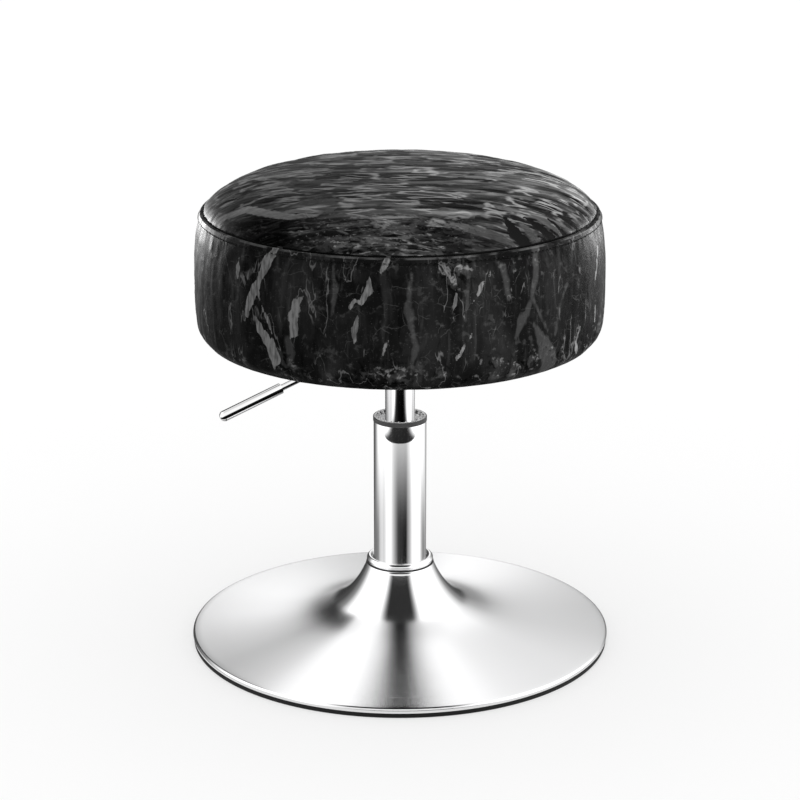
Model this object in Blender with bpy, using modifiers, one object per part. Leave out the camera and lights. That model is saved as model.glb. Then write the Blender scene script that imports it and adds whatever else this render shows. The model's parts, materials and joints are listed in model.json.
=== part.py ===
"""Swivel vanity stool: a round padded seat on a gas lift, over a flared metal base.

Metres, +Z up. The floor is z = 0 and the column stands on the Z axis. The front is -Y, and
the height lever points to the left front. The seat is at its lowest.
"""

import math

import bmesh
import bpy
from mathutils import Matrix, Vector

# Fits and rounds
CLEARANCE = 0.0003  # left between pieces that touch or run on each other
LARGE_STEPS = 48  # sides of the base
SEAT_STEPS = 36
ROUND_STEPS = 32  # sides of the column
SMALL_STEPS = 16  # sides of pins and inner rings
BOLT_STEPS = 12

# Flared base
BASE_RADIUS = 0.200
NECK_TOP = 0.0752  # floor to the shoulder of the neck
NECK_MARGIN = 0.0047  # neck radius beyond the hub inside it
NECK_ROUND = 0.0025  # rounding between neck and shoulder
NECK_FLARE = 0.018  # length over which the neck runs out into the dish
DISH_SLOPE = 0.14  # fall of the dish for each metre of radius
SHELL_WALL = 0.0015
RIM_ROLL = 0.0022  # radius of the rolled rim
RIM_FLANGE = 0.009  # width turned in under the rim
RING_HEIGHT = 0.005  # floor ring below the rim
RING_INSET = 0.0008  # floor ring behind the rim's edge
RING_WEB = 0.004  # floor ring inside the flange
RING_LIP = 0.001  # lip hooked over the flange
RING_HOOK = 0.003  # reach of that lip
BRACE_HEIGHT = 0.020  # floor to the brace plate
BRACE_WALL = 0.002
HUB_WALL = 0.003
HUB_FOOT = 0.004  # hub below the brace plate

# Column
TUBE_RADIUS = 0.025
TUBE_WALL = 0.0025
TUBE_BOTTOM = 0.013
TUBE_TOP = 0.2165
FOOT_TAPER = 0.0007  # radius lost at the tube's foot
FOOT_LENGTH = 0.050  # tapered length of the foot
TRIM_GAP = 0.0008  # between tube and trim ring
TRIM_WIDTH = 0.0052
TRIM_HEIGHT = 0.0068
COLLAR_RADIUS = 0.0255
COLLAR_HEIGHT = 0.0054
COLLAR_ROUND = 0.001
BUSH_LENGTH = 0.0715  # guide bush inside the tube
BUSH_SEAT = 0.0008  # bush flange over the tube's end
BUSH_FLANGE = 0.0044
BUSH_LEAD = 0.0012  # lead-in at the bore's mouth
NOTCH_COUNT = 12
NOTCH_WIDTH = 0.006
NOTCH_DEPTH = 0.0018
NOTCH_DROP = 0.0025

# Swivel bearing and rod
END_PLATE_RISE = 0.001  # end plate above the tube's foot
END_PLATE_WALL = 0.003
RACE_RADIUS = 0.0145
RACE_WALL = 0.002
BALL_RADIUS = 0.0025
BALL_COUNT = 8
BALL_CIRCLE = 0.0098
CAGE_WALL = 0.0016
CAGE_MARGIN = 0.001  # cage beyond the balls
ROD_RADIUS = 0.005
SPIGOT_RADIUS = 0.0042  # rod below its shoulder
GROOVE_DEPTH = 0.0008
ROD_TAIL = 0.0025  # rod below its clip
WASHER_RADIUS = 0.010
WASHER_WALL = 0.0015
CLIP_RADIUS = 0.009
CLIP_WALL = 0.0012
CLIP_MOUTH = math.radians(60)
BUMPER_HEIGHT = 0.012
BUMPER_RADIUS = 0.012

# Gas cylinder
CYLINDER_RADIUS = 0.014
CYLINDER_WALL = 0.002
NOSE_TAPER = 0.0007  # radius lost over the nose
NOSE_SOLID = 0.035  # closed length under the cylinder's top
END_GUIDE_LENGTH = 0.012
LIFT_STROKE = 0.100
REBOUND_SPACE = 0.006  # between end guide and piston at full height
PISTON_HEIGHT = 0.018
SEAL_HEIGHT = 0.004
SEAL_DEPTH = 0.002
ROD_SEAT = 0.010  # rod inside the piston
VALVE_RADIUS = 0.003
VALVE_TIP = 0.0015  # radius of the pin's flat tip
VALVE_LENGTH = 0.033
VALVE_REACH = 0.006  # pin above the cylinder

# Seat mechanism, below the seat
SEAT_BOTTOM = 0.3005  # floor to the cover folded under the board
PLATE_SIDE = 0.150
PLATE_WALL = 0.0025
PLATE_CORNER = 0.012
BOLT_PITCH = 0.120
BOLT_RADIUS = 0.003
BOLT_HEAD_RADIUS = 0.0056
BOLT_HEAD = 0.0035
BOLT_KEY = 0.002  # radius of the hexagon in the head
NUT_BARREL_RADIUS = 0.0044
NUT_BARREL = 0.008
NUT_FLANGE_RADIUS = 0.009
NUT_FLANGE = 0.0015
CHANNEL_WIDTH = 0.041  # inside
CHANNEL_DEPTH = 0.030
CHANNEL_WALL = 0.002
CHANNEL_FLANGE = 0.014
CHANNEL_LENGTH = 0.120
SOCKET_WALL = 0.0045
SOCKET_DROP = 0.0103  # socket below the channel
SOCKET_COLLAR = 0.003  # height and width of its welded collar
SOCKET_SHORT = 0.0015  # socket below the cylinder's top

# Height lever
LEVER_AZIMUTH = math.radians(205)  # from +X, so to the left and 25 degrees to the front
LEVER_RADIUS = 0.003
LEVER_DROP = 0.0113  # lever's axis below the plate
LEVER_ARM = 0.030  # valve pin to pivot
LEVER_INNER = 0.036  # pivot to inner end
LEVER_BEND = 0.0258  # pivot to bend
LEVER_DROOP = math.radians(18.9)
LEVER_NECK = 0.0688  # bend to grip
BEND_RADIUS = 0.012
GRIP_LENGTH = 0.064
GRIP_RADIUS = 0.0052
GRIP_SEAT = 0.040  # rod inside the grip
GRIP_CHAMFER = 0.0008
PIVOT_RADIUS = 0.0025
PIVOT_HEAD_RADIUS = 0.0042
PIVOT_HEAD = 0.0015
BARREL_RADIUS = 0.0052  # eye on the rod round the pivot
BARREL_LENGTH = 0.012

# Seat
BOARD_WALL = 0.012
DUST_WALL = 0.0008
DUST_RADIUS = 0.163
HEM_RADIUS = 0.150  # inner edge of the cover folded under the board
COVER_WALL = 0.0012
CORNER_ROUND = 0.020  # lower corner of the cushion
LOWER_RADIUS = 0.190  # side just above that corner
BULGE_RADIUS = 0.191
BULGE_HEIGHT = 0.0525  # widest place above the seat's bottom
SIDE_HEIGHT = 0.116  # side band's seam above the seat's bottom
SIDE_TOP_RADIUS = 0.1858
WELT_HEIGHT = 0.006
WELT_TOP_RADIUS = 0.1836
CROWN_HEIGHT = 0.0338
CROWN_FLATNESS = 4.3  # how flat the crown is in the middle
CROWN_SHOULDER = 1.39  # how square its shoulder is

# Heights and radii that follow from these
RIM_BOTTOM = RING_HEIGHT + CLEARANCE
RIM_TOP = RIM_BOTTOM + 2 * RIM_ROLL
RIM_CENTRE = BASE_RADIUS - RIM_ROLL
TUBE_BORE = TUBE_RADIUS - TUBE_WALL
HUB_RADIUS = TUBE_RADIUS + CLEARANCE + HUB_WALL
NECK_RADIUS = HUB_RADIUS + NECK_MARGIN
END_PLATE_BOTTOM = TUBE_BOTTOM + END_PLATE_RISE
LOWER_RACE_BOTTOM = END_PLATE_BOTTOM + END_PLATE_WALL + CLEARANCE
BALL_HEIGHT = LOWER_RACE_BOTTOM + RACE_WALL + CLEARANCE + BALL_RADIUS
UPPER_RACE_BOTTOM = BALL_HEIGHT + BALL_RADIUS + CLEARANCE
ROD_SHOULDER = UPPER_RACE_BOTTOM + RACE_WALL + CLEARANCE
WASHER_BOTTOM = END_PLATE_BOTTOM - CLEARANCE - WASHER_WALL
CLIP_BOTTOM = WASHER_BOTTOM - CLEARANCE - CLIP_WALL
SPIGOT_BORE = SPIGOT_RADIUS + CLEARANCE
ROD_BORE = ROD_RADIUS + CLEARANCE
CYLINDER_BOTTOM = ROD_SHOULDER + BUMPER_HEIGHT + CLEARANCE
CYLINDER_BORE = CYLINDER_RADIUS - CYLINDER_WALL
PISTON_BOTTOM = CYLINDER_BOTTOM + CLEARANCE + END_GUIDE_LENGTH + LIFT_STROKE + REBOUND_SPACE
BOARD_BOTTOM = SEAT_BOTTOM + COVER_WALL + CLEARANCE
BOARD_TOP = BOARD_BOTTOM + BOARD_WALL
BOARD_RADIUS = LOWER_RADIUS - CORNER_ROUND
DUST_BOTTOM = BOARD_BOTTOM - CLEARANCE - DUST_WALL
PLATE_BOTTOM = DUST_BOTTOM - CLEARANCE - PLATE_WALL
CHANNEL_TOP = PLATE_BOTTOM - CLEARANCE
CHANNEL_BOTTOM = CHANNEL_TOP - CHANNEL_DEPTH
LEVER_HEIGHT = PLATE_BOTTOM - LEVER_DROP
VALVE_TOP = LEVER_HEIGHT - LEVER_RADIUS - CLEARANCE
CYLINDER_TOP = VALVE_TOP - VALVE_REACH
SOCKET_BOTTOM = CHANNEL_BOTTOM - SOCKET_DROP
SOCKET_RADIUS = CYLINDER_RADIUS + CLEARANCE + SOCKET_WALL
SIDE_TOP = SEAT_BOTTOM + SIDE_HEIGHT
CROWN_BOTTOM = SIDE_TOP + WELT_HEIGHT

for old_object in list(bpy.data.objects):
    bpy.data.objects.remove(old_object)

parts = bpy.data.collections.new("swivel_vanity_stool")
cutters = bpy.data.collections.new("swivel_vanity_stool_cutters")
cutters.hide_render = True
bpy.context.scene.collection.children.link(parts)
bpy.context.scene.collection.children.link(cutters)


def material(name, colour, roughness, metallic):
    """A plain Principled material."""
    made = bpy.data.materials.new(name)
    made.use_nodes = True
    shader = made.node_tree.nodes["Principled BSDF"]
    shader.inputs["Base Color"].default_value = (*colour, 1)
    shader.inputs["Roughness"].default_value = roughness
    shader.inputs["Metallic"].default_value = metallic
    return made


chrome = material("polished chrome", (0.75, 0.75, 0.76), 0.08, 1)
satin_chrome = material("satin chrome", (0.68, 0.68, 0.69), 0.28, 1)
zinc_steel = material("zinc plated steel", (0.55, 0.56, 0.58), 0.4, 1)
ground_steel = material("ground steel", (0.6, 0.6, 0.6), 0.2, 1)
black_steel = material("black painted steel", (0.02, 0.02, 0.02), 0.45, 0)
black_rubber = material("black rubber", (0.012, 0.012, 0.012), 0.7, 0)
dark_plastic = material("dark grey plastic", (0.09, 0.09, 0.09), 0.4, 0)
grey_plastic = material("grey plastic", (0.5, 0.5, 0.5), 0.45, 0)
cover_leather = material("black crushed faux leather", (0.015, 0.015, 0.016), 0.38, 0)
foam = material("foam", (0.75, 0.7, 0.5), 0.9, 0)
plywood = material("plywood", (0.5, 0.34, 0.18), 0.65, 0)
dust_cloth = material("black dust cloth", (0.015, 0.015, 0.015), 0.9, 0)


def empty(name, parent=None, location=(0, 0, 0), turn=0):
    """An empty that carries the pieces of one body, or turns them about Z."""
    made = bpy.data.objects.new(name, None)
    made.empty_display_size = 0.05
    made.parent = parent
    made.location = location
    made.rotation_euler.z = turn
    parts.objects.link(made)
    return made


def placed(name, data, look, parent, location=(0, 0, 0), rotation=(0, 0, 0)):
    """A part made of this mesh or curve."""
    made = bpy.data.objects.new(name, data)
    if look and not data.materials:
        data.materials.append(look)
    made.parent = parent
    made.location = location
    made.rotation_euler = rotation
    parts.objects.link(made)
    return made


def cutter(name, mesh, parent=None, location=(0, 0, 0), rotation=(0, 0, 0)):
    """A hidden shape for cutting or joining."""
    made = placed(name, mesh, None, parent, location, rotation)
    parts.objects.unlink(made)
    cutters.objects.link(made)
    made.display_type = "WIRE"
    made.hide_render = True
    return made


def combine(part, tool, operation="DIFFERENCE"):
    """Cuts the tool out of a part, or joins it on."""
    boolean = part.modifiers.new(tool.name, "BOOLEAN")
    boolean.operation = operation
    boolean.object = tool


def evaluated_mesh(maker):
    """The mesh that an object's modifiers or bevel make, welded and shaded round."""
    graph = bpy.context.evaluated_depsgraph_get()
    mesh = bpy.data.meshes.new_from_object(maker.evaluated_get(graph))
    shape = bmesh.new()
    shape.from_mesh(mesh)
    bmesh.ops.remove_doubles(shape, verts=shape.verts, dist=1e-6)
    shape.to_mesh(mesh)
    shape.free()
    mesh.shade_smooth()
    mesh.set_sharp_from_angle(angle=math.radians(40))
    data = maker.data
    bpy.data.objects.remove(maker)
    if isinstance(data, bpy.types.Mesh):
        bpy.data.meshes.remove(data)
    else:
        bpy.data.curves.remove(data)
    return mesh


def turned_mesh(profile, steps, wall=0.0):
    """Turns (radius, height) points, listed down the outer side, about Z.

    A profile that starts and ends on the axis is a solid, and one with a wall is the outer
    face of a shell. Any other is closed on itself and makes a ring.
    """
    shape = bmesh.new()
    points = [shape.verts.new((radius, 0, height)) for radius, height in profile]
    for start, end in zip(points, points[1:]):
        shape.edges.new((start, end))
    if not wall and profile[0][0] > 0:
        shape.edges.new((points[-1], points[0]))
    mesh = bpy.data.meshes.new("profile")
    shape.to_mesh(mesh)
    shape.free()
    maker = bpy.data.objects.new("turned", mesh)
    cutters.objects.link(maker)
    screw = maker.modifiers.new("turn", "SCREW")
    screw.axis = "Z"
    screw.steps = steps
    screw.render_steps = steps
    screw.use_merge_vertices = True
    screw.merge_threshold = 1e-5
    if wall:
        shell = maker.modifiers.new("wall", "SOLIDIFY")
        shell.thickness = wall
        shell.offset = -1
        shell.use_even_offset = True
    return evaluated_mesh(maker)


def turned(name, profile, look, parent, steps=ROUND_STEPS, wall=0.0):
    """A part turned about the column's axis."""
    return placed(name, turned_mesh(profile, steps, wall), look, parent)


def disc_profile(outer, inner, bottom, top):
    """A flat ring."""
    return [(outer, top), (outer, bottom), (inner, bottom), (inner, top)]


def cylinder_mesh(radius, length, steps):
    """A cylinder about Z, centred on its origin."""
    mesh = bpy.data.meshes.new("cylinder")
    shape = bmesh.new()
    bmesh.ops.create_cone(
        shape, cap_ends=True, segments=steps, radius1=radius, radius2=radius, depth=length
    )
    shape.to_mesh(mesh)
    shape.free()
    return mesh


def arc(centre, radius, start, end, count):
    """Points along an arc, from start to end in degrees."""
    turns = [math.radians(start + (end - start) * i / count) for i in range(count + 1)]
    return [(centre[0] + radius * math.cos(t), centre[1] + radius * math.sin(t)) for t in turns]


def outline_curve(outlines, thickness):
    """A flat plate about z = 0. The first outline is its edge, and the others are holes."""
    curve = bpy.data.curves.new("outline", "CURVE")
    curve.dimensions = "2D"
    curve.fill_mode = "BOTH"
    curve.extrude = thickness / 2
    for outline in outlines:
        spline = curve.splines.new("POLY")
        spline.points.add(len(outline) - 1)
        for point, (x, y) in zip(spline.points, outline):
            point.co = (x, y, 0, 1)
        spline.use_cyclic_u = True
    return curve


def corners(pitch):
    """The four corners of a square about the origin."""
    half = pitch / 2
    return [(half, half), (-half, half), (-half, -half), (half, -half)]


def dish_height(radius):
    """Height of the base's outer face: a shallow cone with a neck that dies away outwards."""
    cone = RIM_TOP + DISH_SLOPE * (RIM_CENTRE - radius)
    neck_rise = NECK_TOP - NECK_ROUND - RIM_TOP - DISH_SLOPE * (RIM_CENTRE - NECK_RADIUS)
    return cone + neck_rise * math.exp((NECK_RADIUS - radius) / NECK_FLARE)


def dish_radius(height):
    """Radius at which the base's outer face has this height."""
    low = NECK_RADIUS
    high = RIM_CENTRE
    for _ in range(40):
        middle = (low + high) / 2
        if dish_height(middle) > height:
            low = middle
        else:
            high = middle
    return low


def build_base(body):
    """Trumpet shell, its rubber floor ring, and the hub and brace inside it."""
    shoulder = (NECK_RADIUS - NECK_ROUND, NECK_TOP - NECK_ROUND)
    profile = [(TUBE_RADIUS + CLEARANCE, NECK_TOP)]
    profile += arc(shoulder, NECK_ROUND, 90, 0, 2)
    dish_points = 8
    crowding = 1.8  # draws the points together at the neck, where the face curves most
    for i in range(1, dish_points + 1):
        radius = NECK_RADIUS + (RIM_CENTRE - NECK_RADIUS) * (i / dish_points) ** crowding
        profile.append((radius, dish_height(radius)))
    profile += arc((RIM_CENTRE, RIM_BOTTOM + RIM_ROLL), RIM_ROLL, 45, -90, 3)
    profile.append((BASE_RADIUS - RIM_FLANGE, RIM_BOTTOM))
    turned("base_shell", profile, satin_chrome, body, LARGE_STEPS, SHELL_WALL)

    outer = BASE_RADIUS - RING_INSET
    web = BASE_RADIUS - RIM_FLANGE - CLEARANCE
    lip_bottom = RIM_BOTTOM + SHELL_WALL + CLEARANCE
    profile = [(outer, RING_HEIGHT), (outer, 0), (web - RING_WEB, 0)]
    profile += [(web - RING_WEB, lip_bottom + RING_LIP), (web + RING_HOOK, lip_bottom + RING_LIP)]
    profile += [(web + RING_HOOK, lip_bottom), (web, lip_bottom), (web, RING_HEIGHT)]
    turned("floor_ring", profile, black_rubber, body, LARGE_STEPS)

    hub_top = NECK_TOP - SHELL_WALL - CLEARANCE
    hub_bottom = BRACE_HEIGHT - HUB_FOOT
    taper_start = TUBE_BOTTOM + FOOT_LENGTH
    bore = TUBE_RADIUS + CLEARANCE
    foot_bore = bore - FOOT_TAPER * (taper_start - hub_bottom) / FOOT_LENGTH
    profile = [(HUB_RADIUS, hub_top), (HUB_RADIUS, hub_bottom), (foot_bore, hub_bottom)]
    profile += [(bore, taper_start), (bore, hub_top)]
    turned("hub_socket", profile, zinc_steel, body)

    brace_top = BRACE_HEIGHT + BRACE_WALL
    steepest = math.atan(2 * DISH_SLOPE)  # the dish is nowhere steeper where the brace meets it
    outer = dish_radius(brace_top + CLEARANCE + SHELL_WALL / math.cos(steepest))
    profile = disc_profile(outer, HUB_RADIUS + CLEARANCE, BRACE_HEIGHT, brace_top)
    turned("brace_plate", profile, zinc_steel, body, LARGE_STEPS)


def build_column(body):
    """Column tube with its trim ring, collar, guide bush and end plate."""
    profile = [(TUBE_RADIUS, TUBE_TOP), (TUBE_RADIUS, TUBE_BOTTOM + FOOT_LENGTH)]
    profile += [(TUBE_RADIUS - FOOT_TAPER, TUBE_BOTTOM), (TUBE_BORE, TUBE_BOTTOM)]
    profile.append((TUBE_BORE, TUBE_TOP))
    turned("column_tube", profile, chrome, body)

    trim_bottom = NECK_TOP + CLEARANCE
    trim_centre = TUBE_RADIUS + TRIM_GAP + TRIM_WIDTH / 2
    profile = [(trim_centre + TRIM_WIDTH / 3, trim_bottom), (trim_centre - TRIM_WIDTH / 3, trim_bottom)]
    for x, z in arc((0, 0), 1, 198, -18, 6):
        profile.append((trim_centre + x * TRIM_WIDTH / 2, trim_bottom + (0.5 + 0.5 * z) * TRIM_HEIGHT))
    turned("trim_ring", profile, chrome, body)

    seat = TUBE_TOP + CLEARANCE
    flange = TUBE_BORE + BUSH_SEAT
    inner = flange + CLEARANCE
    rounded = COLLAR_RADIUS - COLLAR_ROUND
    profile = [(inner, seat + COLLAR_HEIGHT)]
    profile += arc((rounded, seat + COLLAR_HEIGHT - COLLAR_ROUND), COLLAR_ROUND, 90, 0, 3)
    profile += arc((rounded, seat + COLLAR_ROUND), COLLAR_ROUND, 0, -90, 2)
    profile.append((inner, seat))
    turned("collar_ring", profile, dark_plastic, body)

    bore = CYLINDER_RADIUS + CLEARANCE
    sleeve = TUBE_BORE - CLEARANCE
    profile = [(flange, seat + BUSH_FLANGE), (flange, seat), (sleeve, seat)]
    profile += [(sleeve, TUBE_TOP - BUSH_LENGTH), (bore, TUBE_TOP - BUSH_LENGTH)]
    profile += [(bore, seat + BUSH_FLANGE - BUSH_LEAD), (bore + BUSH_LEAD, seat + BUSH_FLANGE)]
    bush = turned("guide_bush", profile, grey_plastic, body)
    notches = bmesh.new()
    for i in range(NOTCH_COUNT):
        turn = Matrix.Rotation(2 * math.pi * (i + 0.5) / NOTCH_COUNT, 4, "Z")
        move = Matrix.Translation((flange, 0, seat + BUSH_FLANGE))
        size = Matrix.Diagonal((2 * NOTCH_DEPTH, NOTCH_WIDTH, 2 * NOTCH_DROP, 1))
        bmesh.ops.create_cube(notches, size=1, matrix=turn @ move @ size)
    mesh = bpy.data.meshes.new("notches")
    notches.to_mesh(mesh)
    notches.free()
    combine(bush, cutter("bush_notches", mesh, body))

    top = END_PLATE_BOTTOM + END_PLATE_WALL
    profile = disc_profile(TUBE_BORE - CLEARANCE, SPIGOT_BORE, END_PLATE_BOTTOM, top)
    turned("end_plate", profile, zinc_steel, body, SMALL_STEPS)


def build_bearing(base, cage, rod):
    """Thrust bearing between the end plate and the rod's shoulder."""
    top = LOWER_RACE_BOTTOM + RACE_WALL
    profile = disc_profile(RACE_RADIUS, SPIGOT_BORE, LOWER_RACE_BOTTOM, top)
    turned("bearing_lower_race", profile, ground_steel, base, SMALL_STEPS)
    top = UPPER_RACE_BOTTOM + RACE_WALL
    profile = disc_profile(RACE_RADIUS, SPIGOT_BORE, UPPER_RACE_BOTTOM, top)
    turned("bearing_upper_race", profile, ground_steel, rod, SMALL_STEPS)

    reach = BALL_RADIUS + CAGE_MARGIN
    bottom = BALL_HEIGHT - CAGE_WALL / 2
    profile = disc_profile(BALL_CIRCLE + reach, BALL_CIRCLE - reach, bottom, bottom + CAGE_WALL)
    ring = turned("bearing_cage", profile, ground_steel, cage, SMALL_STEPS)
    balls = bmesh.new()
    for i in range(BALL_COUNT):
        turn = Matrix.Rotation(2 * math.pi * i / BALL_COUNT, 4, "Z")
        place = turn @ Matrix.Translation((BALL_CIRCLE, 0, BALL_HEIGHT))
        bmesh.ops.create_uvsphere(
            balls, u_segments=8, v_segments=4, radius=BALL_RADIUS, matrix=place
        )
    mesh = bpy.data.meshes.new("balls")
    balls.to_mesh(mesh)
    balls.free()
    combine(ring, cutter("bearing_balls", mesh, cage), "UNION")


def build_rod(body):
    """Rod of the gas spring, with what holds its foot and the piston on its top."""
    rod_top = PISTON_BOTTOM + ROD_SEAT - CLEARANCE
    groove = SPIGOT_RADIUS - GROOVE_DEPTH
    groove_top = CLIP_BOTTOM + CLIP_WALL + CLEARANCE
    groove_bottom = CLIP_BOTTOM - CLEARANCE
    profile = [(0, rod_top), (ROD_RADIUS, rod_top), (ROD_RADIUS, ROD_SHOULDER)]
    profile += [(SPIGOT_RADIUS, ROD_SHOULDER), (SPIGOT_RADIUS, groove_top), (groove, groove_top)]
    profile += [(groove, groove_bottom), (SPIGOT_RADIUS, groove_bottom)]
    profile += [(SPIGOT_RADIUS, groove_bottom - ROD_TAIL), (0, groove_bottom - ROD_TAIL)]
    turned("piston_rod", profile, ground_steel, body, SMALL_STEPS)

    profile = disc_profile(WASHER_RADIUS, SPIGOT_BORE, WASHER_BOTTOM, WASHER_BOTTOM + WASHER_WALL)
    turned("rod_washer", profile, zinc_steel, body, SMALL_STEPS)
    mouth = math.degrees(CLIP_MOUTH) / 2
    outline = arc((0, 0), CLIP_RADIUS, mouth, 360 - mouth, 14)
    outline += arc((0, 0), groove + CLEARANCE, 360 - mouth, mouth, 14)
    clip = outline_curve([outline], CLIP_WALL)
    placed("rod_clip", clip, black_steel, body, (0, 0, CLIP_BOTTOM + CLIP_WALL / 2))

    profile = disc_profile(BUMPER_RADIUS, ROD_BORE, ROD_SHOULDER, ROD_SHOULDER + BUMPER_HEIGHT)
    turned("bumper", profile, black_rubber, body, SMALL_STEPS)

    radius = CYLINDER_BORE - CLEARANCE
    groove = radius - SEAL_DEPTH
    top = PISTON_BOTTOM + PISTON_HEIGHT
    seal_bottom = PISTON_BOTTOM + (PISTON_HEIGHT - SEAL_HEIGHT) / 2
    seal_top = seal_bottom + SEAL_HEIGHT
    profile = [(0, top), (radius, top), (radius, seal_top + CLEARANCE), (groove, seal_top + CLEARANCE)]
    profile += [(groove, seal_bottom - CLEARANCE), (radius, seal_bottom - CLEARANCE)]
    profile += [(radius, PISTON_BOTTOM), (ROD_BORE, PISTON_BOTTOM)]
    profile += [(ROD_BORE, PISTON_BOTTOM + ROD_SEAT), (0, PISTON_BOTTOM + ROD_SEAT)]
    turned("piston_head", profile, zinc_steel, body, SMALL_STEPS)
    profile = disc_profile(radius, groove + CLEARANCE, seal_bottom, seal_top)
    turned("piston_seal", profile, black_rubber, body, SMALL_STEPS)


def build_gas_cylinder(body, valve):
    """Gas cylinder with its tapered nose, end guide and release pin."""
    nose = CYLINDER_RADIUS - NOSE_TAPER
    cavity_top = CYLINDER_TOP - NOSE_SOLID
    pin_bore = VALVE_RADIUS + CLEARANCE
    profile = [(nose, CYLINDER_TOP), (CYLINDER_RADIUS, SOCKET_BOTTOM)]
    profile += [(CYLINDER_RADIUS, CYLINDER_BOTTOM), (CYLINDER_BORE, CYLINDER_BOTTOM)]
    profile += [(CYLINDER_BORE, cavity_top), (pin_bore, cavity_top), (pin_bore, CYLINDER_TOP)]
    turned("gas_cylinder", profile, chrome, body)

    bottom = CYLINDER_BOTTOM + CLEARANCE
    profile = disc_profile(CYLINDER_BORE - CLEARANCE, ROD_BORE, bottom, bottom + END_GUIDE_LENGTH)
    turned("cylinder_end_guide", profile, zinc_steel, body, SMALL_STEPS)

    bottom = VALVE_TOP - VALVE_LENGTH
    rounded = VALVE_RADIUS - VALVE_TIP
    profile = [(0, VALVE_TOP)]
    profile += arc((VALVE_TIP, VALVE_TOP - rounded), rounded, 90, 0, 3)
    profile += [(VALVE_RADIUS, bottom), (0, bottom)]
    turned("valve_pin", profile, ground_steel, valve, SMALL_STEPS)


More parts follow.
